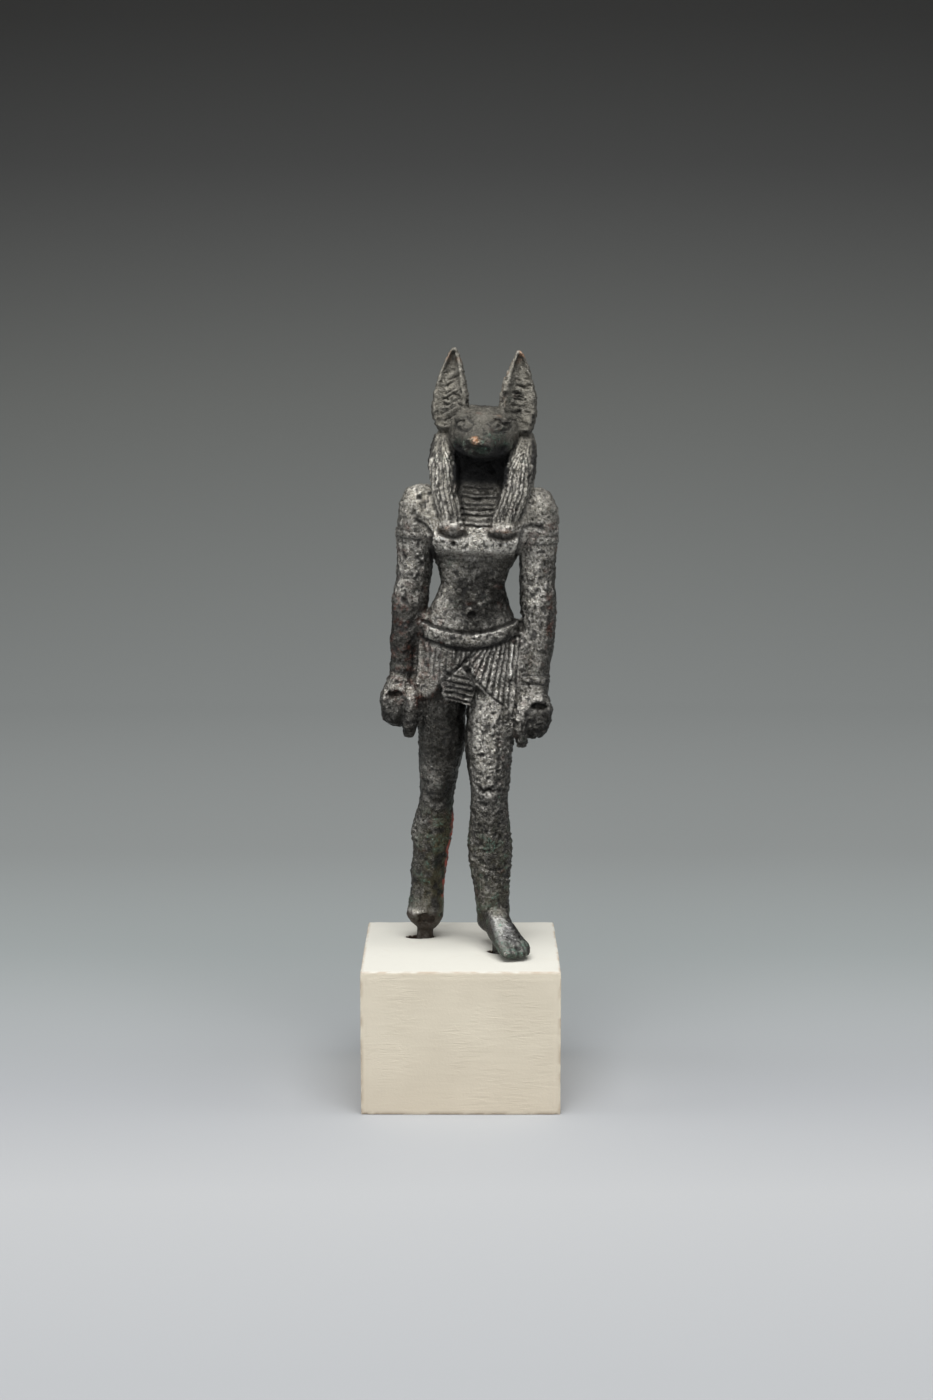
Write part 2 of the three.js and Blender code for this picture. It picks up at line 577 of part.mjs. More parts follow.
function makeEar({ side, outwards }) {
  const form = side > 0 ? EAR : mirrored(EAR);
  const hollow = form.slice(1, -1).map(([height, x, y, half, front, , squareness]) => {
    const reach = Math.min(EAR_HOLLOW_REACH, half * 0.7);
    return [height, x, y - front, Math.max(0.15, half - EAR_RIM), 1, reach, squareness];
  });
  const { count, low, pitch, rise, half, narrows, ...size } = EAR_HATCH;
  const middle = EAR[2];
  const floor = middle[2] - middle[4] + EAR_HOLLOW_REACH;
  const hatch = times(count, (i) => {
    const reach = half * (1 - narrows * i);
    const points = [-1, 0, 1].map((t) => {
      const height = low + i * pitch + rise * t * reach;
      return new THREE.Vector3(side * (EAR_AXIS - t * reach), floor - 0.45 * t * t, height);
    });
    return groove(points, () => new THREE.Vector3(0, -1, 0), size);
  });
  const shell = solid(loft(form, EAR_POINTS)).subtract(solid(loft(hollow, EAR_POINTS)));
  return cut(shell, hatch)
    .translate([-side * EAR_AXIS, 0, 0])
    .rotate([0, 0, side * EAR_TURN])
    .translate([side * (EAR_AXIS + outwards), 0, 0]);
}

function makeWig() {
  const { half, high, back, front } = THROAT;
  const [hem] = WIG.at(-1);
  const recess = new THREE.BoxGeometry(2 * half, back - front, 2 * (high - hem));
  const cap = solid(loft(WIG, 2 * WIG_STRANDS, STRAND_DEPTH));
  const lappets = [LAPPET, mirrored(LAPPET)].map((form) => solid(loft(form, 2 * LAPPET_STRANDS, STRAND_DEPTH)));
  const throat = solid(recess.translate(0, (back + front) / 2, hem));
  return join([cap.subtract(throat), ...lappets]);
}

function makeHead() {
  const { height, drop, from, to, wide, narrow, ...size } = MOUTH;
  const mouth = [1, -1].map((side) => {
    const points = [0, 0.5, 1].map((t) => {
      const half = lerp(wide, narrow, t ** 1.5);
      return new THREE.Vector3(side * half, -lerp(from, to, t), height + drop * (1 - 2 * t));
    });
    return groove(points, () => new THREE.Vector3(side, -0.2, 0).normalize(), size);
  });
  const lids = [1, -1].flatMap((side) => [solid(ball(BROW, side)), solid(ball(EYE, side))]);
  const skull = solid(forwards(loft(SKULL, SKULL_SIDES)));
  return join([cut(skull, mouth), ...lids, makeWig(), ...EAR_SIDES.map(makeEar)])
    .rotate([0, 0, HEAD_TURN])
    .translate([HEAD_SHIFT, 0, 0]);
}

// Where the figure stands: on the block's top, leaning to its left.
const stance = new THREE.Group();
stance.position.set(FIGURE_SHIFT, 0, BLOCK_HEIGHT);
stance.rotation.y = radians(FIGURE_LEAN);
stance.updateMatrix();

// An oval prism about a tang, in the block's frame and tapering downwards.
function oval({ at, half, turn }, slack, clearance, low, high) {
  const rings = [[low, TANG_TAPER], [high, 1]].map(([height, taper]) => {
    const [a, b] = half.map((size, k) => size * taper + clearance + Math.abs(slack[k]));
    return times(SOCKET_SIDES, (j) => {
      const angle = (2 * Math.PI * j) / SOCKET_SIDES;
      return new THREE.Vector3(slack[0] + a * Math.cos(angle), slack[1] + b * Math.sin(angle), height);
    });
  });
  return skin(rings).rotateZ(radians(turn)).translate(FIGURE_SHIFT + at[0] * UNIT, at[1] * UNIT, BLOCK_HEIGHT);
}

const makeSocket = (tang) => solid(oval(tang, tang.slack, TANG_CLEARANCE, -TANG_DEPTH - TANG_CLEARANCE, 1));

function makeFigure() {
  const body = join([makeTorso(), makeLegs(), ...ARMS.map(makeArm), ...WEBS.map(makeWeb), makeHead()]);
  const tangs = [REAR_TANG, FRONT_TANG].map((tang) => {
    const upright = oval(tang, [0, 0], 0, -TANG_DEPTH, TANG_TOP * UNIT);
    return solid(upright.applyMatrix4(stance.matrix.clone().invert()));
  });
  return join([body.scale([UNIT, UNIT, UNIT]), ...tangs]);
}

function makeBlock() {
  const [w, d, r] = [BLOCK_WIDTH / 2, BLOCK_DEPTH / 2, BLOCK_EDGE_RADIUS];
  const corners = [[w - r, r - d], [w - r, d - r], [r - w, d - r], [r - w, r - d]];
  const ring = (height, inset) =>
    corners.flatMap(([x, y], i) =>
      times(3, (j) => {
        const angle = (Math.PI / 2) * (i - 1 + j / 2);
        const reach = r - inset;
        return new THREE.Vector3(x + reach * Math.cos(angle), y + reach * Math.sin(angle), height);
      }),
    );
  const rings = [ring(0, 0), ring(BLOCK_HEIGHT - r, 0)];
  for (const angle of [30, 60, 85]) {
    const [sine, cosine] = [Math.sin(radians(angle)), Math.cos(radians(angle))];
    rings.push(ring(BLOCK_HEIGHT - r + r * sine, r - r * cosine));
  }
  rings.at(-1).forEach((p) => p.setZ(BLOCK_HEIGHT));
  return cut(solid(skin(rings)), [REAR_TANG, FRONT_TANG].map(makeSocket));
}

const bronze = new THREE.MeshStandardMaterial({ color: 0x2b2825, roughness: 0.45, metalness: 0.85 });
const paintedWood = new THREE.MeshStandardMaterial({ color: 0xd9cfbd, roughness: 0.75, metalness: 0 });

const figure = new THREE.Mesh(geometryOf(makeFigure()), bronze);
figure.name = "bronze_figure";
stance.add(figure);

const block = new THREE.Mesh(geometryOf(makeBlock()), paintedWood);
block.name = "wooden_block";

const statuette = new THREE.Group();
statuette.add(stance, block);

export default statuette;
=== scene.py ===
"""A small bronze of a striding jackal-headed god on a painted wooden block, around its CAD frame."""

import math

import bpy
import numpy as np
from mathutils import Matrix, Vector
from mathutils.bvhtree import BVHTree
from mathutils.kdtree import KDTree


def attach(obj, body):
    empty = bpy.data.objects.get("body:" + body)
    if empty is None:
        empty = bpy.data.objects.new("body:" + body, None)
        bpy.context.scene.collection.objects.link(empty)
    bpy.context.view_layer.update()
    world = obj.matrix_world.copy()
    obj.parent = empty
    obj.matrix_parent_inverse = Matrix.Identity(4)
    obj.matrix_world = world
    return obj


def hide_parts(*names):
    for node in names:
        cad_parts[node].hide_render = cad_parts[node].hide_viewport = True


MM = 0.001

# The camera, in mm and degrees, worked out from the edges of the block
CAMERA_PLACE = (1.1, -428.6, 142.95)
CAMERA_PITCH = 8.77
CAMERA_LENS = 57.73
CAMERA_SENSOR = 36

# Where the figure stands, as in its source
BLOCK_TOP = 28.0
FIGURE_SHIFT = -0.9
FIGURE_LEAN = math.radians(2.7)
HEAD_SHIFT = 0.7
HEAD_TURN = math.radians(-6)

# The figure's mesh: the size of its squares, the rounds that smooth its facets, and its final count
FIGURE_VOXEL = 0.21
FACETS_AWAY = 46
FIGURE_TRIANGLES = 196000
SMALL_PITS = 210

# How far each round of smoothing draws the points in, and then out again
SMOOTH_IN = 0.6
SMOOTH_OUT = 0.63

# The noise's table, whose size is a power of two, and the primes that scatter its cells over it
NOISE_VALUES = 4096
NOISE_PRIMES = (73856093, 19349663, 83492791)

# The trunk and the belt across it, in the figure's own frame
TRUNK_MIDDLE = -0.4
BELT_HEIGHT = 63.0
BELT_SLOPE = 0.075
BELT_HALF = 9.2
BELT_SAG = 2.2
BELT_BACK_SAG = 1.0

# The block's mesh: the size of its squares, its size and rounding as in its source, and how square it gets
BLOCK_VOXEL = 0.3
BLOCK_HALF = 19
BLOCK_ROUNDING = 1.3
BLOCK_SQUARENESS = 12


def make_camera():
    data = bpy.data.cameras.new("camera")
    data.lens = CAMERA_LENS
    data.sensor_width = CAMERA_SENSOR
    data.clip_start = 0.01
    data.clip_end = 20
    camera = bpy.data.objects.new("camera", data)
    bpy.context.scene.collection.objects.link(camera)
    camera.location = Vector(CAMERA_PLACE) * MM
    camera.rotation_euler = (math.radians(90 - CAMERA_PITCH), 0, 0)
    bpy.context.scene.camera = camera


def rise(low, high, value):
    """Rises smoothly from 0 at the low value to 1 at the high one."""
    t = np.clip((value - low) / (high - low), 0, 1)
    return t * t * (3 - 2 * t)


def fall(low, high, value):
    return 1 - rise(low, high, value)


def bell(value, width):
    return np.exp(-((value / width) ** 2))


def noise(points, size, seed):
    """Smooth noise from -1 to 1 whose bumps are about one size across."""
    table = np.random.RandomState(seed).uniform(-1, 1, NOISE_VALUES)
    scaled = points / size + 500.0
    cell = np.floor(scaled).astype(np.int64)
    part = scaled - cell
    part = part * part * (3 - 2 * part)
    total = np.zeros(len(points))
    for corner in range(8):
        step = np.array([corner & 1, corner >> 1 & 1, corner >> 2 & 1])
        hashed = np.bitwise_xor.reduce((cell + step) * np.array(NOISE_PRIMES), axis=1)
        weight = np.prod(np.where(step, part, 1 - part), axis=1)
        total += weight * table[(hashed >> 3) & (NOISE_VALUES - 1)]
    return total


def rows_of(items, name, width, kind):
    """One value of each vertex or edge of a mesh, as rows of numbers."""
    flat = np.empty(len(items) * width, kind)
    items.foreach_get(name, flat)
    return flat.reshape(-1, width)


def coordinates(mesh):
    return rows_of(mesh.vertices, "co", 3, np.float32).astype(float)


def set_coordinates(mesh, points):
    mesh.vertices.foreach_set("co", points.astype(np.float32).ravel())
    mesh.update()


def normals_of(mesh):
    return rows_of(mesh.vertex_normals, "vector", 3, np.float32).astype(float)


class Neighbours:
    """Averages over the neighbours of each vertex of a mesh."""

    def __init__(self, mesh):
        first, second = rows_of(mesh.edges, "vertices", 2, np.int32).T
        self.start = np.concatenate([first, second])
        self.end = np.concatenate([second, first])
        self.count = len(mesh.vertices)
        self.degree = np.maximum(np.bincount(self.start, minlength=self.count), 1)

    def mean(self, values):
        columns = values.reshape(self.count, -1)
        summed = [np.bincount(self.start, c[self.end], self.count) for c in columns.T]
        return (np.stack(summed, 1) / self.degree[:, None]).reshape(values.shape)

    def blurred(self, values, times):
        for _ in range(times):
            values = 0.5 * values + 0.5 * self.mean(values)
        return values


def modified(mesh, name, kind, **settings):
    """The mesh with one modifier applied."""
    piece = bpy.data.objects.new("work", mesh)
    bpy.context.scene.collection.objects.link(piece)
    modifier = piece.modifiers.new("work", kind)
    for key, value in settings.items():
        setattr(modifier, key, value)
    graph = bpy.context.evaluated_depsgraph_get()
    made = bpy.data.meshes.new_from_object(piece.evaluated_get(graph))
    made.name = name
    bpy.data.objects.remove(piece)
    return made


def remeshed(node, voxel, name):
    """A copy of a CAD node's mesh in millimetres, as an even skin of small squares."""
    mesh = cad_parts[node].data.copy()
    mesh.materials.clear()
    set_coordinates(mesh, coordinates(mesh) / MM)
    return modified(mesh, name, "REMESH", mode="VOXEL", voxel_size=voxel, adaptivity=0)


def reduced(mesh, triangles, name):
    """The mesh with about this many triangles."""
    mesh.calc_loop_triangles()
    share = triangles / len(mesh.loop_triangles)
    return modified(mesh, name, "DECIMATE", ratio=share, use_collapse_triangulate=True)


def without_facets(points, around, rounds, hold):
    """Smooths the CAD's facets away and keeps the size of the forms. hold is 1 where nothing moves."""
    free = (1 - hold)[:, None]
    for _ in range(rounds):
        points = points + SMOOTH_IN * free * (around.mean(points) - points)
        points = points - SMOOTH_OUT * free * (around.mean(points) - points)
    return points


def to_canon(points):
    """From the row frame in mm to the figure's own upright frame: x, y and the height."""
    across = points[:, 0] - FIGURE_SHIFT
    up = points[:, 2] - BLOCK_TOP
    x = across * math.cos(FIGURE_LEAN) - up * math.sin(FIGURE_LEAN)
    height = across * math.sin(FIGURE_LEAN) + up * math.cos(FIGURE_LEAN)
    return np.stack([x, points[:, 1], height], 1)


def from_canon(x, y, height):
    """From the figure's own frame back to the row frame, for one point."""
    across = x * math.cos(FIGURE_LEAN) + height * math.sin(FIGURE_LEAN)
    up = -x * math.sin(FIGURE_LEAN) + height * math.cos(FIGURE_LEAN)
    return np.array([FIGURE_SHIFT + across, y, BLOCK_TOP + up])


def to_head(canon):
    """From the figure's frame to its head's own, which is shifted and turned."""
    x, y = canon[:, 0] - HEAD_SHIFT, canon[:, 1]
    cosine, sine = math.cos(HEAD_TURN), math.sin(HEAD_TURN)
    return np.stack([x * cosine + y * sine, -x * sine + y * cosine, canon[:, 2]], 1)


class Carving:
    """Relief on a skin of points: its lift along the normals, in mm, and marks for cuts and raised seams."""

    def __init__(self, points, normals):
        self.points = points
        self.normals = normals
        self.canon = to_canon(points)
        self.head = to_head(self.canon)
        self.lift = np.zeros(len(points))
        self.cuts = np.zeros(len(points))
        self.seams = np.zeros(len(points))
        self.wobble = 0.13 * noise(points, 1.5, 7) + 0.10 * noise(points, 0.7, 8)

    def engrave(self, where, u, v, line, width, depth, lip=0.0):
        """Cuts a rounded groove along a line of points in the plane of u and v, where the mask holds."""
        line = np.array(line, float)
        low, high = line.min(0) - 3 * width, line.max(0) + 3 * width
        near = where & (u > low[0]) & (u < high[0]) & (v > low[1]) & (v < high[1])
        at = np.flatnonzero(near)
        if not len(at):
            return
        p = np.stack([u[at] + self.wobble[at], v[at] + self.wobble[at]], 1)
        best = np.full(len(at), 1e9)
        for start, end in zip(line[:-1], line[1:]):
            along = end - start
            t = np.clip(((p - start) @ along) / (along @ along), 0, 1)
            best = np.minimum(best, np.linalg.norm(p - start - t[:, None] * along, axis=1))
        self.add_cut(at, best, width, depth, lip)

    def add_cut(self, at, distance, width, depth, lip=0.0):
        """Cuts by the distance from a line or point. A depth below 0 raises, and a lip is a low rim."""
        profile = fall(0, width, distance)
        self.lift[at] -= depth * profile
        marks = self.cuts if depth > 0 else self.seams
        marks[at] = np.maximum(marks[at], profile)
        if lip:
            self.lift[at] += lip * bell(distance - 1.5 * width, 0.6 * width)


def belt_middle(x, sag=BELT_SAG):
    return BELT_HEIGHT + BELT_SLOPE * x - sag * (1 - np.clip(np.abs(x) / BELT_HALF, 0, 1) ** 2)


def front_of_trunk(skin):
    x, y, _ = skin.canon.T
    return (y < 1.5) & (np.abs(x - TRUNK_MIDDLE) < 10.6) & (skin.normals[:, 1] < 0.1)


def back_of_trunk(skin):
    x, y, _ = skin.canon.T
    return (y > 1.5) & (np.abs(x - TRUNK_MIDDLE) < 10.4)


def carve_belt(skin):
    x, _, h = skin.canon.T
    for edge in (-1, 1):
        line = [(t, belt_middle(t) + edge * 1.62) for t in np.linspace(-9.4, 9.4, 25)]
        skin.engrave(front_of_trunk(skin), x, h, line, 0.45, 0.42, 0.06)
        line = [(t, belt_middle(t, BELT_BACK_SAG) + edge * 1.6) for t in np.linspace(-9.4, 9.4, 15)]
        skin.engrave(back_of_trunk(skin), x, h, line, 0.5, 0.35, 0.1)


# The kilt's lower edge from the front, as places across and heights
HEM = [
    (-10.8, 48.9), (-7.9, 49.3), (-5.7, 52.2), (-1.6, 55.9),
    (1.5, 52.6), (3.4, 50.9), (6.4, 48.4), (10.4, 47.3),
]


def carve_pleats(skin):
    x, _, h = skin.canon.T
    front = front_of_trunk(skin)
    # Pleats on the left, which slant, and what is left of them on the right
    rng = np.random.RandomState(8)
    for t in np.arange(11) / 10:
        top = 0.6 + 8.7 * t
        low = top - 3.0 * (1 - t) ** 1.2 - 0.3
        start = belt_middle(top) - 1.9
        end = np.interp(low, *zip(*HEM)) + 0.5
        middle = (0.52 * top + 0.48 * low + rng.uniform(-0.12, 0.12), (start + end) / 2)
        skin.engrave(front, x, h, [(top, start), middle, (low, end)], 0.31, rng.uniform(0.36, 0.55), 0.05)
    for i in range(4):
        top = -2.6 + 0.95 * i
        start = belt_middle(top) - 1.9
        skin.engrave(front, x, h, [(top, start), (top - 0.5, start - 2.6 - 0.2 * i)], 0.34, 0.25, 0.05)
    for i in range(5):
        top = -7.9 + 1.1 * i
        start = belt_middle(top) - 2.6
        skin.engrave(front, x, h, [(top, start), (top - 0.1, start - 4.5 - 0.5 * i)], 0.32, 0.12, 0.03)
    # Fine cross cuts make the pleats look like cloth
    field = front & (h < belt_middle(x) - 1.9) & (h > np.interp(x, *zip(*HEM)))
    at = np.flatnonzero(field)
    right = rise(-1.5, 1.0, x[at])
    weave = np.sin(2 * math.pi * (h[at] * 1.25 + 0.25 * x[at] + 0.5 * np.floor((x[at] + 1) / 0.86)))
    skin.lift[at] += 0.05 * (0.35 + 0.65 * right) * weave
    # Plain pleats all across the back
    behind = back_of_trunk(skin) & (h < 60) & (h > 47.6) & (skin.normals[:, 1] > 0)
    for top in np.arange(-8.4, 8.4, 1.15):
        skin.engrave(behind, x, h, [(top, 60.3), (0.97 * top, 47.8)], 0.34, 0.22, 0.04)


def carve_tab(skin):
    """The edges and stripes of the kilt's pointed tab, and the hem beside it."""
    x, _, h = skin.canon.T
    front = front_of_trunk(skin)
    skin.engrave(front, x, h, [(-1.9, 56.2), (-5.8, 52.3), (-5.2, 51.2)], 0.36, 0.4, 0.03)
    skin.engrave(front, x, h, [(-1.3, 56.2), (1.6, 52.4), (0.5, 50.9)], 0.36, 0.4, 0.06)
    for i in range(4):
        start = (-4.9 + 0.22 * i, 53.1 - 1.02 * i)
        end = (0.75 - 0.15 * i, 52.35 - 1.02 * i)
        skin.engrave(front, x, h, [start, end], 0.34, 0.34, 0.02)
    skin.engrave(front, x, h, [(-3.3, 54.2), (-0.1, 53.7)], 0.3, 0.3, 0.05)
    # The hem on the left, a plain line with a low rim
    hem = [(-0.9, 56.0), (1.6, 53.2), (3.5, 51.2), (5.0, 49.9), (7.1, 48.6)]
    skin.engrave(front, x, h, hem, 0.34, 0.35, 0.08)


def carve_chest(skin):
    x, y, h = skin.canon.T
    front = (y < 0) & (np.abs(x) < 3.7) & (h < 92)
    for height, half, depth in (
        (82.7, 2.9, 0.3), (83.6, 2.9, 0.2), (84.6, 2.9, 0.42), (85.8, 3.0, 0.42), (86.6, 3.0, 0.2),
        (87.9, 2.9, 0.38), (88.8, 2.9, 0.2), (89.7, 2.7, 0.3),
    ):
        line = [(-half, height + 0.25), (0, height), (half, height + 0.25)]
        skin.engrave(front, x, h, line, 0.32, depth, 0.07)
    # The navel
    distance = np.hypot((x + 0.05) / 1.1, h - 65.9)
    at = np.flatnonzero((y < 0) & (distance < 1.6))
    skin.add_cut(at, distance[at], 0.45, 0.2)
    # The hollow down the middle of the belly, and the edge under the breast
    at = np.flatnonzero((y < 0) & (np.abs(x) < 8) & (h > 64) & (h < 82))
    sunk = 0.22 * bell(x[at] + 0.2, 0.9)
    skin.lift[at] -= sunk * rise(66, 69, h[at]) * fall(74, 77, h[at])
    edge = 77.5 + 0.018 * (x[at] - 0.2) ** 2
    skin.lift[at] += 0.4 * rise(-0.5, 0.3, h[at] - edge) * fall(1.5, 4, h[at] - edge)


# Lines of places across and heights: seams on the webs beside the hips, and creases beside the chest
WEB_SEAMS = {
    -1: [[(9.7, 60), (9.6, 52)]],
    1: [[(9.1, 59), (9.2, 54.5), (8.7, 50.7), (8.2, 47.7), (8.4, 43)], [(7.9, 60), (7.8, 54)]],
}
ARM_CREASES = [
    [(-11.6, 83.4), (-9.9, 82.3), (-8.6, 80.6), (-8.2, 76.5)],
    [(12.4, 82.7), (10.4, 83.3), (8.8, 82.7), (8.1, 79.2), (8.0, 77)],
]


def carve_arms(skin):
    x, y, h = skin.canon.T
    for side in (-1, 1):
        # The armlet and the bracelet
        arm = (side * x > 10.2) & (h > 60)
        for height in (81.1, 79.6):
            distance = np.abs(h - height - 0.06 * side * (x - side * 12))
            at = np.flatnonzero(arm & (distance < 1))
            skin.add_cut(at, distance[at], 0.3, 0.08)
        drop = 1.1 if side > 0 else 0
        wrist = (side * x > 9.6) & (h > 48) & (h < 60)
        for height in (55.6 - drop, 53.9 - drop):
            distance = np.abs(h - height - 0.05 * side * (x - side * 13))
            at = np.flatnonzero(wrist & (distance < 1))
            skin.add_cut(at, distance[at], 0.3, 0.08)
        # The hollow at the elbow and the muscle under the shoulder
        inside = (side * x > 8.6) & (y < 2)
        at = np.flatnonzero(inside & (np.abs(h - 70) < 6))
        skin.lift[at] -= 0.25 * bell(h[at] - 69.5, 1.6) * bell(x[at] - side * 11.4, 1.8)
    # The creases where the arms leave the chest
    for crease in ARM_CREASES:
        skin.engrave((y < 2) & (skin.normals[:, 1] < 0.4), x, h, crease, 0.75, 0.5)


def carve_hands(skin):
    """The back of each hand ends in an arch over the hollow of the fist, and the fingers lie below."""
    x, y, h = skin.canon.T
    for side, drop in ((-1, 0), (1, 0.9)):
        front = (side * x > 11.0) & (y < 1.2) & (h < 54) & (h > 40) & (skin.normals[:, 1] < 0.3)
        arch = [(11.4, 47.6), (12.2, 49.3), (13.4, 50.1), (14.8, 49.6), (16.0, 48.0)]
        arch = [(side * u, v - drop) for u, v in arch]
        skin.engrave(front, x, h, arch, 0.5, 0.15, 0.1)
        at = np.flatnonzero(front & (h < 50 - drop))
        below = np.interp(side * x[at], *zip(*[(side * u, v) for u, v in arch])) - h[at]
        sunk = 0.2 * rise(11.2, 12.2, side * x[at]) * rise(-0.2, 0.5, below)
        skin.lift[at] -= sunk * fall(1.5, 5, below)
        # The gaps between the fingers, and the tip of the thumb
        fist = (side * x > 11.2) & (h < 48.6 - drop) & (h > 38) & (y > -4.2)
        for gap in (-1.9, 0.1, 2.0):
            distance = np.abs(y - gap)
            at = np.flatnonzero(fist & (distance < 1))
            skin.add_cut(at, distance[at], 0.42, 0.36, 0.05)
        thumb = (side * x > 9.0) & (side * x < 12.2) & (y < -2.5)
        skin.engrave(thumb, x, h, [(side * 10.2, 44.6 - drop), (side * 11.6, 44.5 - drop)], 0.34, 0.2)
        # Raised seams on the cast web beside the hip, down to the thumb
        web = (side * x > 7) & (side * x < 11.6) & (y < 3.5) & (skin.normals[:, 1] < 0.2)
        for seam in WEB_SEAMS[side]:
            skin.engrave(web, side * x, h, seam, 0.5, -0.45)


# How far out the wig's lappets hang, by height in the head's own frame, and how wide they are
LAPPET_HEIGHTS = (82, 83.4, 85, 89.5, 94, 97.2, 99.5)
LAPPET_MIDDLES = (4.75, 4.95, 5.3, 6.7, 7.25, 7.6, 8.0)
LAPPET_HALVES = (2.5, 2.5, 2.4, 2.8, 3.1, 2.7, 1.8)
LAPPET_STRANDS = 11


def carve_lappets(skin):
    x, y, h = skin.head.T
    rng = np.random.RandomState(5)
    for side, depth in ((-1, 0.12), (1, 0.2)):
        zone = (side * x > 1.2) & (h > 83.3) & (h < 100.5) & (y < 1.5) & (skin.normals[:, 1] < 0.55)
        at = np.flatnonzero(zone)
        # The places across each lappet run from -1 to 1
        across = side * x[at] - np.interp(h[at], LAPPET_HEIGHTS, LAPPET_MIDDLES)
        across /= np.interp(h[at], LAPPET_HEIGHTS, LAPPET_HALVES)
        ahead = (y[at] + 3.8) / 3.4
        angle = np.arctan2(across, np.clip(-ahead + 0.2, 0.15, None)) / 1.9
        wave = 0.5 + 0.5 * np.cos(math.pi * (LAPPET_STRANDS * angle + 0.1 * np.sin(h[at] * 0.5)))
        sharp = rise(0.55, 1.0, wave)
        fade = rise(83.5, 84.2, h[at]) * fall(98.8, 100.3, h[at])
        fade *= fall(1.1, 1.35, np.abs(across))
        skin.lift[at] -= depth * (sharp - 0.35) * fade
        skin.cuts[at] = np.maximum(skin.cuts[at], sharp * fade)
        weave = np.sin(2 * math.pi * h[at] / 0.95 + 9 * np.round(LAPPET_STRANDS * angle / 2))
        skin.lift[at] += 0.06 * fade * weave * (side > 0)
        # Short strokes at random, and the groove over each lappet's end
        for _ in range(40):
            middle = rng.uniform(84, 98)
            reach = rng.uniform(-0.9, 0.8) * np.interp(middle, LAPPET_HEIGHTS, LAPPET_HALVES)
            place = side * (np.interp(middle, LAPPET_HEIGHTS, LAPPET_MIDDLES) + reach)
            tall = rng.uniform(0.3, 0.9)
            stroke = [(place, middle - tall), (place + 0.1, middle + tall)]
            skin.engrave(zone, x, h, stroke, 0.25, rng.uniform(0.12, 0.3))
        under = (side * x > 1.2) & (y < 0) & (h > 79) & (h < 84)
        skin.engrave(under, side * x, h, [(2.4, 81.2), (4.8, 80.6), (7.2, 81.3)], 0.9, 0.8)


def carve_cap(skin):
    """The wig's cap and back, where strands fall straight down from the crown."""
    x, y, h = skin.head.T
    cap = (np.abs(x) < 12) & (y > 0.6) & (h > 82.5) & (h < 104.8)
    at = np.flatnonzero(cap)
    angle = np.arctan2(x[at], y[at] - 2.2)
    wave = 0.5 + 0.5 * np.cos(26 * angle)
    sharp = rise(0.55, 1.0, wave)
    fade = rise(0.6, 1.6, y[at]) * fall(103.4, 104.6, h[at]) * rise(82.5, 83.2, h[at])
    skin.lift[at] -= 0.28 * (sharp - 0.35) * fade
    skin.cuts[at] = np.maximum(skin.cuts[at], 0.8 * sharp * fade)


def carve_ears(skin):
    x, y, h = skin.head.T
    rng = np.random.RandomState(11)
    for side, middle in ((-1, -6.9), (1, 6.2)):
        hollow = (side * x > 2.5) & (h > 101) & (skin.normals[:, 1] < 0)
        # Slanting ribs inside the ear, then short strokes at random
        for i in range(7):
            height = 103.0 + 1.25 * i + rng.uniform(-0.2, 0.2)
            reach = (1.7 if side < 0 else 1.0) * (1 - 0.05 * i) * rng.uniform(0.6, 1)
            slant = 0.62 if side < 0 else 0.2
            centre = middle - side * 0.2 + rng.uniform(-0.45, 0.45)
            line = [(centre + side * t * reach, height - slant * t * reach) for t in (-1, 0, 1)]
            skin.engrave(hollow, x, h, line, 0.28, rng.uniform(0.2, 0.38))
        for _ in range(16 if side > 0 else 6):
            u = middle + rng.uniform(-1.5, 1.5)
            v = rng.uniform(103, 110)
            slope = rng.uniform(-0.5, 0.2)
            skin.engrave(hollow, x, h, [(u, v), (u + 0.9, v + slope)], 0.24, rng.uniform(0.2, 0.36))
        back = (side * x > 2.5) & (h > 101) & (skin.normals[:, 1] > 0.2)
        skin.engrave(back, x, h, [(middle, 101.5), (middle, 113)], 0.5, 0.18)


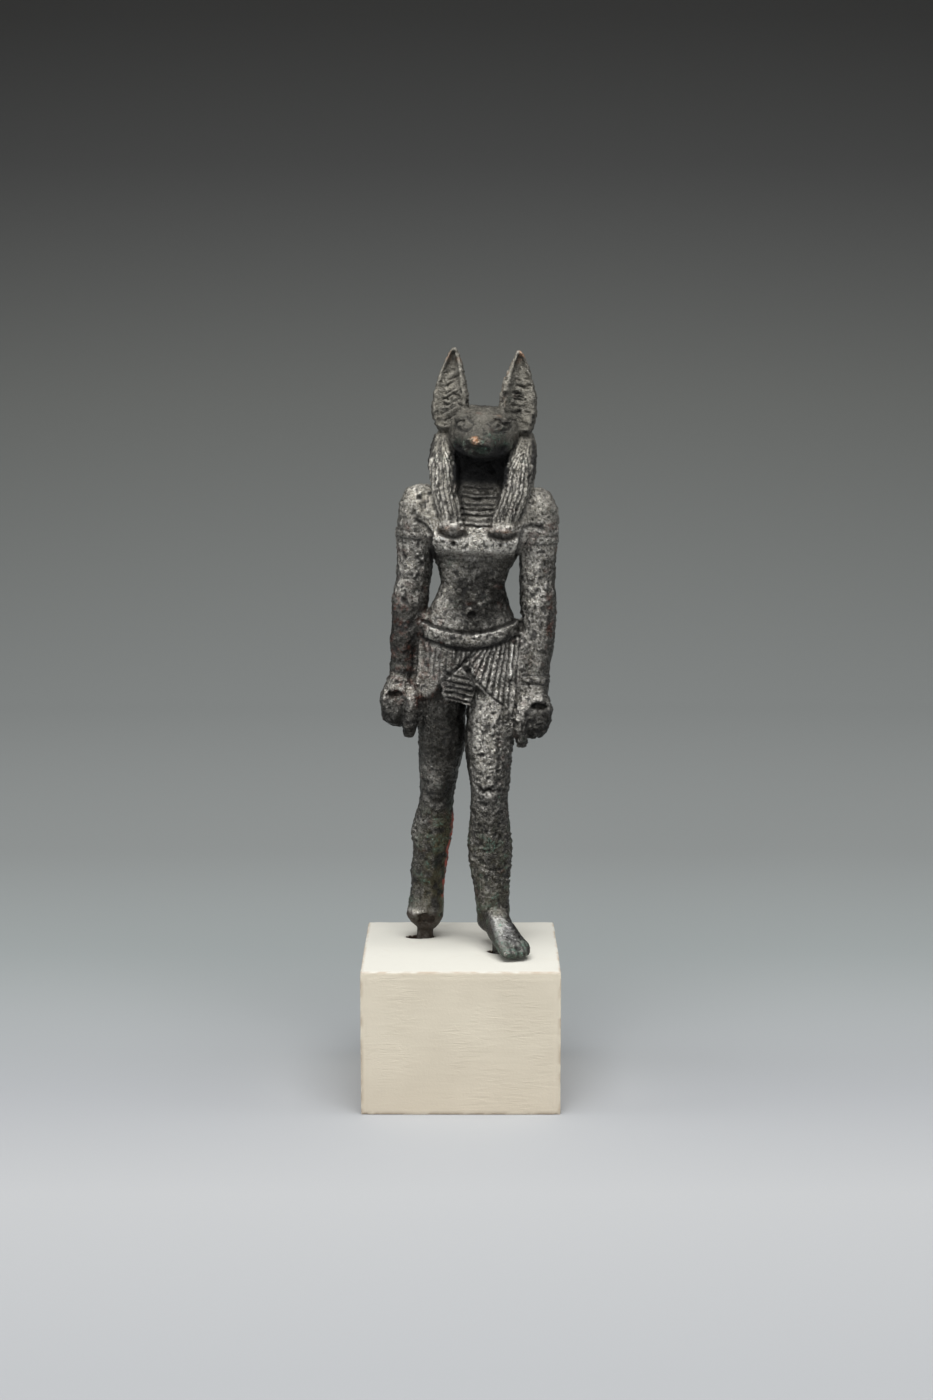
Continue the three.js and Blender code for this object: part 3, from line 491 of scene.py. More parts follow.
def carve_face(skin):
    x, y, h = skin.head.T
    face = (y < -2.2) & (h > 95) & (h < 106)
    for side in (-1, 1):
        brow = [(side * 1.7, 102.3), (side * 3.0, 103.3), (side * 4.6, 102.9), (side * 5.6, 101.9)]
        skin.engrave(face, x, h, brow, 0.42, 0.18, 0.03)
        under = [(side * 1.9, 101.3), (side * 3.0, 100.75), (side * 4.5, 101.0), (side * 5.4, 101.6)]
        skin.engrave(face, x, h, under, 0.42, 0.16)
        at = np.flatnonzero(face & (np.hypot((x - side * 3.4) / 1.3, (h - 101.8) / 0.75) < 2))
        ball = np.clip(1 - ((x[at] - side * 3.4) / 1.35) ** 2 - ((h[at] - 101.8) / 0.8) ** 2, 0, 1)
        skin.lift[at] += (0.3 if side < 0 else 0.12) * np.sqrt(ball)
        cheek = np.flatnonzero(face & (side * x > 1.4) & (h < 101))
        skin.lift[cheek] -= 0.18 * bell(side * x[cheek] - 2.7, 0.8) * bell(y[cheek] + 8.6, 2.4)
    # The jaw narrows below the cheeks
    jaw = np.flatnonzero((y < -5.5) & (y > -11) & (h > 95) & (h < 100) & (np.abs(x) < 6))
    skin.lift[jaw] -= 0.9 * bell(h[jaw] - 96.9, 1.7) * rise(2.6, 4.6, np.abs(x[jaw]))
    # A lump and some pits are left of the left eye, and a cut beside the right one
    skin.engrave(face, x, h, [(-5.2, 101.2), (-4.1, 102.4)], 0.4, 0.3)
    for px, ph in ((3.2, 102.9), (4.2, 102.1), (2.6, 101.6), (4.9, 103.2), (3.9, 101.1)):
        skin.engrave(face, x, h, [(px, ph), (px + 0.5, ph + 0.15)], 0.42, 0.35)
    # The worn tip of the snout is a few flat facets
    tip = np.flatnonzero((y < -12.6) & (h > 97))
    skin.lift[tip] -= 0.5 * rise(0.1, 0.5, x[tip]) * bell(h[tip] - 99.9, 0.8)
    skin.lift[tip] -= 0.6 * fall(98.2, 98.9, h[tip] + 0.3 * x[tip])


def carve_legs(skin):
    x, y, h = skin.canon.T
    # The kneecaps with a ring under each, and the edges of the shins
    for middle, front, knee in ((-5.1, 0.6, 31.4), (4.9, -4.6, 32.0)):
        leg = (np.abs(x - middle) < 4.6) & (y < front + 3) & (h < 46)
        at = np.flatnonzero(leg)
        shape = np.hypot((x[at] - middle) / 2.0, (h[at] - knee) / 2.3)
        skin.lift[at] += 0.4 * bell(shape, 0.9)
        ring = 0.3 if middle < 0 else 0.1
        skin.lift[at] -= ring * bell(np.abs(shape - 1.35), 0.28) * (h[at] < knee + 1.2)
        shin = bell(x[at] - middle - 0.2, 1.1) * fall(22, 27, h[at]) * rise(8, 12, h[at])
        skin.lift[at] += 0.22 * shin
    # Two cracks across the front of the left knee
    skin.engrave((x > 1) & (y < 0), x, h, [(2.9, 32.4), (3.7, 32.0), (4.7, 32.5), (5.6, 32.2)], 0.6, 1.0)
    skin.engrave((x > 1) & (y < 0), x, h, [(3.2, 29.7), (4.6, 29.5)], 0.5, 0.6)
    # The toes, worn until only their lines are left
    turn = math.radians(21)
    fx = (x - 6.75) * math.cos(turn) + (y - 0.5) * math.sin(turn)
    fy = -(x - 6.75) * math.sin(turn) + (y - 0.5) * math.cos(turn)
    foot = (h < 5) & (fy < -9) & (x > 2)
    for i, start in enumerate((-1.3, 0.15, 1.4, 2.5)):
        line = [(start * 0.92, -10.9 - 0.15 * i), (start, -14.4)]
        skin.engrave(foot, fx, fy, line, 0.4, 0.07)


def pit_spots(tree):
    """Places and radii of small round casting pits, found by looking at the figure from all round."""
    rng = np.random.RandomState(3)
    spots = []
    while len(spots) < SMALL_PITS:
        height = rng.uniform(4, 114)
        angle = rng.uniform(0, 2 * math.pi)
        aim = from_canon(rng.uniform(-13, 13), rng.uniform(-3, 4), height)
        away = np.array([math.sin(angle), -math.cos(angle), rng.uniform(-0.2, 0.3)])
        hit = tree.ray_cast(Vector(aim + 60 * away), Vector(-away))[0]
        if hit is None:
            continue
        radius = 0.24 + 0.2 * rng.uniform() ** 3
        spots.append((hit, radius))
    return spots


# Pits that the photograph shows clearly: x and height from the front, and radius
SEEN_PITS = [
    (-11.1, 87.6, 0.55), (-9.2, 88.5, 0.45), (4.2, 107.6, 0.55), (-4.1, 79.4, 0.6), (4.6, 79.5, 0.42),
    (-13.5, 76.0, 0.5), (-13.3, 67.8, 0.5), (-9.6, 69.8, 0.45), (-4.3, 68.3, 0.42), (1.9, 69.8, 0.45),
    (12.1, 70.7, 0.5), (11.4, 69.8, 0.42), (11.7, 3.3, 0.65), (5.2, 44.6, 0.4), (3.3, 39.2, 0.4),
    (6.4, 36.0, 0.45),
]


def carve_pits(skin, tree):
    spots = pit_spots(tree)
    for x, h, radius in SEEN_PITS:
        aim = from_canon(x, 0, h)
        hit = tree.ray_cast(Vector((aim[0], -80, aim[2])), Vector((0, 1, 0)))[0]
        if hit is not None:
            spots.append((hit, radius))
    finder = KDTree(len(skin.points))
    for i, point in enumerate(skin.points):
        finder.insert(point, i)
    finder.balance()
    for spot, radius in spots:
        found = finder.find_range(spot, 1.6 * radius)
        at = np.array([i for _, i, _ in found], int)
        if len(at):
            distance = np.array([d for _, _, d in found])
            skin.add_cut(at, distance, 1.3 * radius, 1.1 * radius)
            skin.cuts[at] = np.maximum(skin.cuts[at], fall(0.9, 1.35, distance / radius))


def roughen(skin):
    """The cast skin: soft dents and small holes, and a crust of grains that is strongest on the left leg."""
    x, _, h = skin.canon.T
    p = skin.points
    leg = rise(1, 3, x) * fall(44, 50, h) * rise(8, 16, h)
    arm = rise(8.4, 9.4, np.abs(x)) * fall(88, 92, h)
    face = rise(95, 98, h)
    foot = fall(5, 9, h)
    belt = bell(h - belt_middle(x), 1.5) * (np.abs(x - TRUNK_MIDDLE) < 10)
    strength = 1.0 + 0.3 * belt + 0.5 * leg + 0.25 * arm + 0.15 * face - 0.85 * foot
    coarse = noise(p, 2.6, 21) * (1 - 0.85 * leg)
    dents = 0.12 + 0.16 * np.maximum(arm, fall(44, 50, h)) * (1 - foot)
    skin.lift += dents * noise(p, 4.6, 20)
    medium = noise(p, 1.1, 22)
    grain = noise(p, 0.55, 23)
    fine = noise(p, 0.36, 24)
    skin.lift += 0.13 * coarse + strength * (0.045 * (1 - 0.8 * leg) * medium + 0.10 * grain + 0.12 * fine)
    holes = rise(0.42, 0.68, noise(p, 0.62, 25) + 0.08 * leg)
    skin.lift -= 0.17 * strength * holes
    skin.cuts = np.maximum(skin.cuts, 0.9 * holes * np.clip(strength, 0, 1))
    # Short dark crevices in the crust of the left leg
    crevice = bell(noise(p * [1, 1, 1.6], 0.75, 26), 0.16)
    crevice *= rise(-0.3, 0.2, noise(p, 1.2, 27))
    skin.lift -= 0.22 * leg * crevice
    skin.cuts = np.maximum(skin.cuts, leg * crevice)


def broken_face(skin):
    """The rough break at the front of the right ankle."""
    x, y, h = skin.canon.T
    near = bell(np.sqrt(((x + 6.4) / 1.5) ** 2 + (y - 3.6) ** 2 + (h - 3.9) ** 2), 1.7)
    p = skin.points
    lumps = 0.85 * noise(p, 1.2, 31)
    splinters = 0.5 * noise(p * [1, 1, 1.8], 0.7, 32)
    skin.lift += near * (-0.4 + lumps + splinters)


def near_points(points, places, radius):
    """A mask that is 1 at the places and fades within about the radius."""
    total = np.zeros(len(points))
    for place in places:
        distance = np.linalg.norm(points - np.array(place), axis=1)
        total = np.maximum(total, bell(distance, radius))
    return total


# Painted light and shade on the metal, in lighter and darker areas: x, height, half width, half height, and
# how much lighter
LIGHT_AND_SHADE_PATCHES = [
    (0, 80.6, 8.5, 4, 2.0), (-0.3, 78.4, 7.4, 1.9, 2.0), (-9.8, 87.5, 4, 5, 2.0), (9.5, 87, 3.5, 4, 1.6),
    (-6.5, 90, 3, 9, 1.75), (6.5, 90, 3, 9, 1.6), (0.7, 101, 7, 5, 0.5),
    (0.8, 68.5, 5.5, 5, 0.15), (-5.5, 70, 2, 3, 1.2), (-5, 57, 5, 5, 0.62), (5.5, 55, 4, 6, 1.15),
    (-2, 52, 3, 2.5, 0.3),
    (5, 42, 4, 7, 1.4), (5, 29, 4, 4, 0.75), (5, 17, 4, 9, 0.7),
    (-5, 42, 4.5, 7, 0.35), (-5, 28, 4.5, 6, 0.5), (-5, 13, 4.5, 10, 0.36),
    (7.5, 2.5, 6, 4, 0.85), (-12, 75, 3.5, 7, 1.2), (12, 75, 3.5, 7, 1.6),
    (-13, 61, 3.5, 7, 0.22), (13, 61, 3.5, 7, 0.78), (-13.6, 45, 3.5, 4, 0.25), (13.6, 44.5, 3.2, 4, 0.33),
    (-13.6, 52, 2.4, 2.4, 0.9), (13.4, 51.5, 1.8, 2.4, 0.9), (10.6, 42, 1.4, 4, 0.9),
    (-6.9, 107, 3, 7, 1.1), (6.2, 107, 3, 7, 1.1),
]


def light_and_shade_patches(skin, ragged):
    """The painted light and shade of each area in the table, whose weights are averaged where they overlap.
    """
    x, _, h = skin.canon.T
    total = np.zeros(len(x))
    share = np.zeros(len(x))
    for px, ph, wide, tall, factor in LIGHT_AND_SHADE_PATCHES:
        away = np.hypot((x - px) / wide, (h - ph) / tall) + 0.15 * ragged
        weight = fall(0.6, 1.4, away)
        total += weight * math.log(factor)
        share += weight
    return np.exp(total / np.maximum(share, 1))


def unit(vectors):
    return vectors / np.linalg.norm(vectors, axis=1)[:, None]


def facing_highlight(normals):
    """Painted highlight on each face: most where it looks up and to the front, or up and to the back."""
    lit = np.zeros(len(normals))
    for direction in ((-0.3, -0.72, 0.62), (0.3, 0.72, 0.62)):
        lit = np.maximum(lit, normals @ np.array(direction))
    return 0.38 + 1.25 * rise(0.45, 0.97, lit)


def left_foot_mask(skin):
    x, _, h = skin.canon.T
    return (x > 1) * fall(7, 9, h)


def toes_mask(skin):
    x, y, h = skin.canon.T
    return (x > 5) * fall(3.2, 4.4, h) * (y < -7)


def shins_mask(skin):
    h = skin.canon[:, 2]
    return rise(2, 5, h) * fall(22, 30, h)


def snout_shadow_mask(skin):
    # Painted shade on the faces under the snout that look down
    hx, hy, h = skin.head.T
    facing = rise(0.0, 0.35, -skin.normals[:, 2])
    return facing * (hy < -5) * rise(95, 96.5, h) * bell(hx - 0.6, 3.0)


def painted_highlight_mask(skin, around, ragged):
    """Painted highlight on the metal, with some painted shade, by the way it faces and by where it is."""
    x, _, h = skin.canon.T
    hy = skin.head[:, 1]
    p = skin.points
    n = skin.normals
    left_foot = left_foot_mask(skin)
    highlight = 0.35 * facing_highlight(n) + 0.65 * facing_highlight(unit(around.blurred(n, 14)))
    # Painted shade on the left foot's sides that look towards -x
    highlight *= 1 - 0.6 * left_foot * rise(0.15, 0.5, -n[:, 0]) * fall(0.5, 0.8, n[:, 2])
    # The painted highlight is more even on the face and the chest
    highlight += (0.8 - highlight) * 0.55 * rise(96, 98.5, h) * (1 - 0.6 * rise(101, 104, h))
    even = rise(76.5, 78, h) * fall(90, 93, h)
    highlight += (1.05 - highlight) * 0.7 * even
    # Painted glints on the dark belly, a painted highlight on the rim of the broken ankle, and finer painted
    # glints all over
    belly = bell(np.hypot((x - 0.8) / 5.5, (h - 68.5) / 5), 1)
    highlight *= 1 + belly * (4.0 * rise(0.25, 0.7, noise(p, 0.5, 47)) - 0.4)
    rim = (x < 0) * bell(h - 5.7 + 0.5 * ragged, 0.35)
    highlight *= 1 + 3.0 * rim
    grains = rise(0.05, 0.6, noise(p, 0.38, 48))
    left_leg = rise(1, 3, x) * fall(44, 50, h) * rise(8, 12, h)
    share = (0.4 + 0.1 * left_leg) * (1 - 0.5 * rise(93, 97, h)) * (1 - left_foot)
    highlight *= 1 + share * (1.4 * grains - 0.3)
    # Painted shade on the lappets' lower ends
    highlight *= 1 - 0.55 * bell(h - 82.2, 0.7) * (hy < -3.2) * bell(np.abs(x) - 4.8, 2.2)
    return highlight


def light_shade_and_wear_mask(skin, around, ragged):
    """How light the metal is: mostly painted light and shade, with lighter raised seams and a dark band on
    the belt.
    """
    x, _, h = skin.canon.T
    hx, hy, _ = skin.head.T
    # Painted shade under the snout
    snout_shadow = snout_shadow_mask(skin)
    # Painted highlights on a flat spot beside the left eye and along the top of the snout
    facet_highlight = near_points(skin.head * [1, 0.5, 1], [(-3.1, -2.6, 101.7)], 0.8)
    snout_top_highlight = bell(hx, 2.1) * (hy < -4) * (1 - snout_shadow) * rise(98.5, 100, h)
    # A dark band along the belt's lower half
    band = (hy < 1.5) * bell(h - belt_middle(x) + 0.85, 0.8)
    band *= rise(-0.7, 0.1, ragged + 0.8 * bell(x, 5)) * (np.abs(x - TRUNK_MIDDLE) < 10)
    light_shade_and_wear = light_and_shade_patches(skin, ragged) * painted_highlight_mask(skin, around, ragged)
    light_shade_and_wear *= 1 - 0.75 * snout_shadow
    light_shade_and_wear *= 1 + 0.6 * facet_highlight + 0.25 * snout_top_highlight
    light_shade_and_wear *= 1 + 0.9 * skin.seams
    light_shade_and_wear *= 1 - 0.85 * band
    return light_shade_and_wear


def copper_mask(skin, ragged, spots):
    """Bare metal: the snout's tip, the ears' tips and rims, the lappets' ends and a spot on a brow."""
    x, _, h = skin.canon.T
    hx, hy, _ = skin.head.T
    tip = near_points(skin.head * [1.7, 1, 1], [(-0.5, -14.6, 99.5)], 1.05)
    ears = rise(112.8, 115.4, h) * 0.9
    rims = rise(104, 107, h) * bell(np.abs(hx) - 3.4 - 0.03 * (h - 108) ** 2, 0.35) * (hy < 1.2)
    ends = 0.35 * bell(h - 82.2, 0.6) * (hy < -3.2) * bell(np.abs(x) - 4.8, 2.2)
    brow = near_points(skin.head, [(2.9, -5.2, 103.4)], 0.6) * 0.3
    copper = 1.3 * tip + 0.6 * ears * rise(-0.2, 0.5, ragged)
    copper += 0.3 * rims * rise(0.1, 0.6, spots)
    copper = np.clip(copper, 0, 1)
    return np.maximum(copper, np.maximum(ends * rise(-0.6, 0.3, ragged), brow))


def verdigris_mask(skin, ragged, spots):
    """Green on the shins, the toes and the jaw, in clouds, and in a spot beside the right knee."""
    x, y, h = skin.canon.T
    hx, hy, _ = skin.head.T
    green = 0.7 * shins_mask(skin) * rise(0.1, 0.6, ragged)
    green += 0.85 * toes_mask(skin) * rise(-0.5, 0.3, ragged)
    green += 0.3 * rise(0.45, 0.8, noise(skin.points, 2.4, 43)) * rise(0.0, 0.4, spots)
    green += bell(np.hypot(x + 1.9, (h - 27.6) / 1.8), 0.7) * (y < 7)
    jaw = 0.7 * rise(94, 95.5, h) * fall(99.5, 101, h - 0.25 * hx)
    jaw *= (hy < -4) * rise(-0.3, 0.3, ragged)
    return np.maximum(green, jaw)


def cuprite_mask(skin, ragged):
    """Red on the arms, beside the right hip, at the tab's end, and in clouds."""
    x, _, h = skin.canon.T
    p = skin.points
    arms = rise(8.2, 9.5, np.abs(x)) * fall(84, 90, h) * rise(50, 56, h)
    hip = fall(-6.5, -3, x) * rise(47, 50, h) * fall(66, 69, h)
    ends = near_points(skin.canon, [(-3.0, -7.5, 49.2), (-0.8, -7.5, 48.9), (-9.6, -3, 49)], 1.4)
    red = 0.5 * arms * rise(0.25, 0.65, noise(p, 1.7, 44))
    red += 0.6 * hip * rise(-0.1, 0.4, ragged)
    red += 0.9 * ends + 0.35 * rise(0.5, 0.8, noise(p, 1.5, 45))
    return red


def paint_mask(skin, ragged):
    """A broken streak of red paint down the inner side of the right calf."""
    x, y, h = skin.canon.T
    stripe = np.abs(x - np.interp(h, [7, 12, 22, 26], [-3.15, -2.85, -1.85, -1.65]))
    paint = fall(0.35, 0.6, stripe + 0.3 * ragged)
    paint *= (y < 7) * (skin.normals[:, 0] > 0.2) * (x < 0)
    breaks = rise(-0.15, 0.2, noise(skin.points, 0.9, 46))
    paint *= rise(6.5, 7.5, h) * fall(24.5, 26.5, h) * breaks
    return paint


def hollow_and_ridge(skin, around):
    """Where the skin bends inwards or is cut, which gets painted shade, and where it bends outwards, which
    gets lighter wear.
    """
    h = skin.canon[:, 2]
    away = around.blurred(skin.points, 6) - skin.points
    bend = np.einsum("ij,ij->i", away, skin.normals)
    hollow = rise(0.0, 0.16, around.blurred(bend, 2))
    ridge = rise(0.0, 0.13, -around.blurred(bend, 2))
    hollow = np.clip(np.maximum(hollow, 0.95 * skin.cuts), 0, 1)
    hollow *= 1 - 0.15 * rise(100.5, 103, h) - 0.45 * rise(108, 111, h)
    return hollow, ridge


def colour_masks(skin, around):
    """Masks for the metal's colours and its painted light and shade, one value for each vertex."""
    x, _, h = skin.canon.T
    hx, hy, _ = skin.head.T
    n = skin.normals
    ragged = noise(skin.points, 1.3, 41)
    spots = noise(skin.points, 0.6, 42)
    hollow, ridge = hollow_and_ridge(skin, around)
    # Painted shade in the space between the lappets, under the jaw
    throat_shade = (np.abs(hx) < 5.2) * (hy < 3) * (hy > -12)
    throat_shade = throat_shade * rise(89.2, 91.5, h) * fall(97.2, 98.6, h)
    # A painted sheen on the top of the left foot
    foot_sheen = left_foot_mask(skin) * rise(0.1, 0.5, n[:, 2]) * fall(6.5, 8, h)
    matte = 0.75 * rise(95.5, 97.5, h) * (hy < 3)
    matte += 0.35 * rise(82, 85, h) * fall(95.5, 97.5, h)
    inner_side = (x < 0) * rise(-0.4, 0.5, n[:, 0])
    return {
        "throat_shade": throat_shade,
        "light_shade_and_wear": light_shade_and_wear_mask(skin, around, ragged),
        "copper": copper_mask(skin, ragged, spots),
        "verdigris": np.clip(verdigris_mask(skin, ragged, spots), 0, 1),
        "cuprite": np.clip(cuprite_mask(skin, ragged), 0, 1),
        "paint": paint_mask(skin, ragged),
        "hollow": hollow,
        "ridge": ridge,
        "foot_sheen": foot_sheen * (1 - 0.7 * toes_mask(skin)),
        "stump": fall(4.9, 5.3, h + 0.5 * ragged) * (x < 0),
        "matte": matte,
        "olive": shins_mask(skin) * rise(-0.5, 0.5, ragged) * (0.35 + 0.65 * inner_side),
    }


def store(mesh, masks):
    for name, values in masks.items():
        layer = mesh.attributes.new(name, "FLOAT", "POINT")
        layer.data.foreach_set("value", values.astype(np.float32))


def finished_piece(mesh, name, node, material):
    """A mesh in mm becomes a shown piece that stands for its CAD node."""
    set_coordinates(mesh, coordinates(mesh) * MM)
    mesh.shade_smooth()
    mesh.materials.clear()
    mesh.materials.append(material)
    piece = bpy.data.objects.new(name, mesh)
    bpy.context.scene.collection.objects.link(piece)
    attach(piece, "root")
    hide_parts(node)


def make_figure(material):
    mesh = remeshed("bronze_figure", FIGURE_VOXEL, "figure_skin")
    tree = BVHTree.FromPolygons(*node_polygons("bronze_figure"))
    around = Neighbours(mesh)
    points = coordinates(mesh)
    x, y, h = to_canon(points).T
    # The ears, the belt, the tab and the foot keep more of their edges
    crisp = np.maximum.reduce([
        0.55 * rise(100.5, 103, h),
        0.5 * bell(h - belt_middle(x), 2.4) * (np.abs(x) < 10),
        0.5 * (y < -4) * (h > 48) * (h < 57) * (np.abs(x + 2) < 4.5),
        0.4 * fall(4, 6, h),
    ])
    points = without_facets(points, around, FACETS_AWAY, around.blurred(crisp, 4))
    set_coordinates(mesh, points)
    skin = Carving(points, normals_of(mesh))
    for carve in (
        carve_belt, carve_pleats, carve_tab, carve_chest, carve_arms, carve_hands,
        carve_lappets, carve_cap, carve_ears, carve_face, carve_legs,
    ):
        carve(skin)
    carve_pits(skin, tree)
    broken_face(skin)
    roughen(skin)
    # The tangs inside the block stay as they are
    skin.lift *= rise(-0.2, 0.6, h)
    points = points + skin.lift[:, None] * skin.normals
    set_coordinates(mesh, points)
    skin.points = points
    skin.normals = normals_of(mesh)
    store(mesh, colour_masks(skin, around))
    mesh = reduced(mesh, FIGURE_TRIANGLES, "bronze_statuette")
    finished_piece(mesh, "bronze_statuette", "bronze_figure", material)


def node_polygons(node):
    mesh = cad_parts[node].data
    mesh.calc_loop_triangles()
    vertices = [v.co / MM for v in mesh.vertices]
    return vertices, [list(t.vertices) for t in mesh.loop_triangles]


def crisper(points):
    """Draws the rounded edges of the block's sides and top out until they are nearly square."""
    inner = np.array([BLOCK_HALF, BLOCK_HALF, BLOCK_TOP / 2]) - BLOCK_ROUNDING
    centre = np.array([0, 0, BLOCK_TOP / 2])
    away = np.abs(points - centre) - inner
    away[points[:, 2] < BLOCK_TOP / 2, 2] = -1
    reach = np.maximum(away, 0)
    even = np.linalg.norm(reach, axis=1)
    square = (reach ** BLOCK_SQUARENESS).sum(1) ** (1 / BLOCK_SQUARENESS)
    reach *= (even / np.maximum(square, 1e-6))[:, None]
    drawn = np.where(away > 0, inner + reach, np.abs(points - centre))
    return centre + np.sign(points - centre) * drawn


def inside_block(points, from_sides, from_top, from_foot):
    """Marks the points that are this far inside the block's faces, which are those of its sockets."""
    x, y, z = points.T
    reach = BLOCK_HALF - from_sides
    return (np.abs(x) < reach) & (np.abs(y) < reach) & (z < BLOCK_TOP - from_top) & (z > from_foot)


def make_block(material):
    mesh = remeshed("wooden_block", BLOCK_VOXEL, "block_skin")
    around = Neighbours(mesh)
    points = crisper(without_facets(coordinates(mesh), around, 2, np.zeros(around.count)))
    set_coordinates(mesh, points)
    normals = normals_of(mesh)
    x, y, z = points.T
    socket = inside_block(points, 3, 0.25, 1)
    # Brush strokes along the sides and the top
    side = np.abs(normals[:, 2]) < 0.5
    along = np.where(np.abs(normals[:, 1]) > np.abs(normals[:, 0]), x, y)
    brush = noise(np.stack([along * 0.16, z * 1.5, 0 * z], 1), 1.0, 61)
    top = noise(np.stack([x * 0.12, y * 1.4, 0 * z], 1), 1.0, 63)
    lift = np.where(side, 0.010 * brush, 0.008 * top) + 0.05 * noise(points, 7, 64)
    # How far each point is from the nearest edge, where two faces meet
    depths = np.stack([BLOCK_HALF - np.abs(x), BLOCK_HALF - np.abs(y), BLOCK_TOP - z, z], 1)
    edge = fall(0.15, 0.6, np.sort(depths, axis=1)[:, 1])
    patchy = noise(points, 1.8, 65) + 0.5 * noise(points, 0.8, 66)
    wear = edge * rise(-0.45, 0.3, patchy)
    lift -= 0.06 * wear
    # The sockets' walls stay plain
    deep = inside_block(points, 4, 1.2, 2)
    lift[deep] = 0
    wear[deep] = 0
    points = points + lift[:, None] * normals
    # The underside stays flat
    points[:, 2] = np.where(z < 0.6, np.maximum(points[:, 2], 0), points[:, 2])
    set_coordinates(mesh, points)
    store(mesh, {
        "top": rise(0.1, 0.5, normals[:, 2]),
        "wear": wear,
        "low": np.clip(1 - z / 16, 0, 1),
        "socket": socket,
    })
    finished_piece(mesh, "painted_block", "wooden_block", material)


class Nodes:
    """A short way to write a material's nodes."""

    def __init__(self, name):
        self.material = bpy.data.materials.new(name)
        self.material.use_nodes = True
        self.tree = self.material.node_tree

    def wire(self, inputs, node):
        """Fills a node's inputs, by name or number, with values or with other nodes' outputs."""
        for name, value in inputs.items():
            if hasattr(value, "links"):
                self.tree.links.new(value, node.inputs[name])
            else:
                node.inputs[name].default_value = value

    def add(self, kind, inputs=(), **settings):
        node = self.tree.nodes.new("ShaderNode" + kind)
        for key, value in settings.items():
            setattr(node, key, value)
        self.wire(dict(inputs), node)
        return node

    def finished(self, inputs):
        """The material, whose shader has these inputs."""
        self.wire(inputs, self.tree.nodes["Principled BSDF"])
        return self.material

    def mask(self, name):
        return self.add("Attribute", attribute_name=name).outputs["Fac"]

    def noise(self, size, detail=3.0, roughness=0.55, stretch=(1, 1, 1), distortion=0.0):
        """Noise whose bumps are about size mm across."""
        place = self.add("TexCoord").outputs["Object"]
        mapping = self.add("Mapping", {"Vector": place, "Scale": stretch})
        return self.add("TexNoise", {
            "Vector": mapping.outputs["Vector"],
            "Scale": 1 / (size * MM),
            "Detail": detail,
            "Roughness": roughness,
            "Distortion": distortion,
        }).outputs["Fac"]

    def ramp(self, value, low, high, start=0.0, end=1.0):
        inputs = {"Value": value, "From Min": low, "From Max": high, "To Min": start, "To Max": end}
        return self.add("MapRange", inputs, interpolation_type="SMOOTHSTEP").outputs["Result"]

    def math(self, kind, a, b, clamp=False):
        return self.add("Math", {0: a, 1: b}, operation=kind, use_clamp=clamp).outputs[0]

    def times(self, a, b):
        return self.math("MULTIPLY", a, b)

    def mix(self, share, a, b, blend="MIX"):
        node = self.add("Mix", {"Factor": share}, data_type="RGBA", blend_type=blend)
        sockets = [i for i, s in enumerate(node.inputs) if s.type == "RGBA"]
        colours = [value if hasattr(value, "links") else (*value, 1) for value in (a, b)]
        self.wire(dict(zip(sockets, colours)), node)
        return [s for s in node.outputs if s.type == "RGBA"][0]

    def layered(self, colour, *layers):
        """A colour with others over it, each with the share of it that shows."""
        for share, over in layers:
            colour = self.mix(share, colour, over)
        return colour

    def bump(self, height, distance, strength=1.0, under=None):
        inputs = {"Height": height, "Distance": distance * MM, "Strength": strength}
        if under is not None:
            inputs["Normal"] = under
        return self.add("Bump", inputs).outputs["Normal"]


# The metal's colours, among them painted shade for the hollows and under the jaw, and a painted sheen for the
# left foot's top
METAL_DARK = (0.168, 0.158, 0.134)
METAL_LIGHT = (0.28, 0.268, 0.241)
METAL_SPECKLE = (0.42, 0.41, 0.39)
METAL_RIDGE = (0.62, 0.60, 0.56)
FOOT_SHEEN_COLOUR = (0.265, 0.272, 0.278)
METAL_PORE = (0.022, 0.020, 0.018)
METAL_MATTE = (0.175, 0.163, 0.132)
METAL_OLIVE = (0.14, 0.12, 0.066)
HOLLOW_SHADE_COLOUR = (0.007, 0.006, 0.005)
METAL_STUMP = (0.036, 0.023, 0.014)
THROAT_SHADE_COLOUR = (0.004, 0.004, 0.004)
CUPRITE = (0.115, 0.030, 0.016)
VERDIGRIS = (0.060, 0.105, 0.075)
VERDIGRIS_SPECK = (0.16, 0.29, 0.23)
COPPER_DARK = (0.50, 0.22, 0.09)
COPPER_LIGHT = (0.85, 0.60, 0.44)
RED_PAINT = (0.50, 0.105, 0.07)


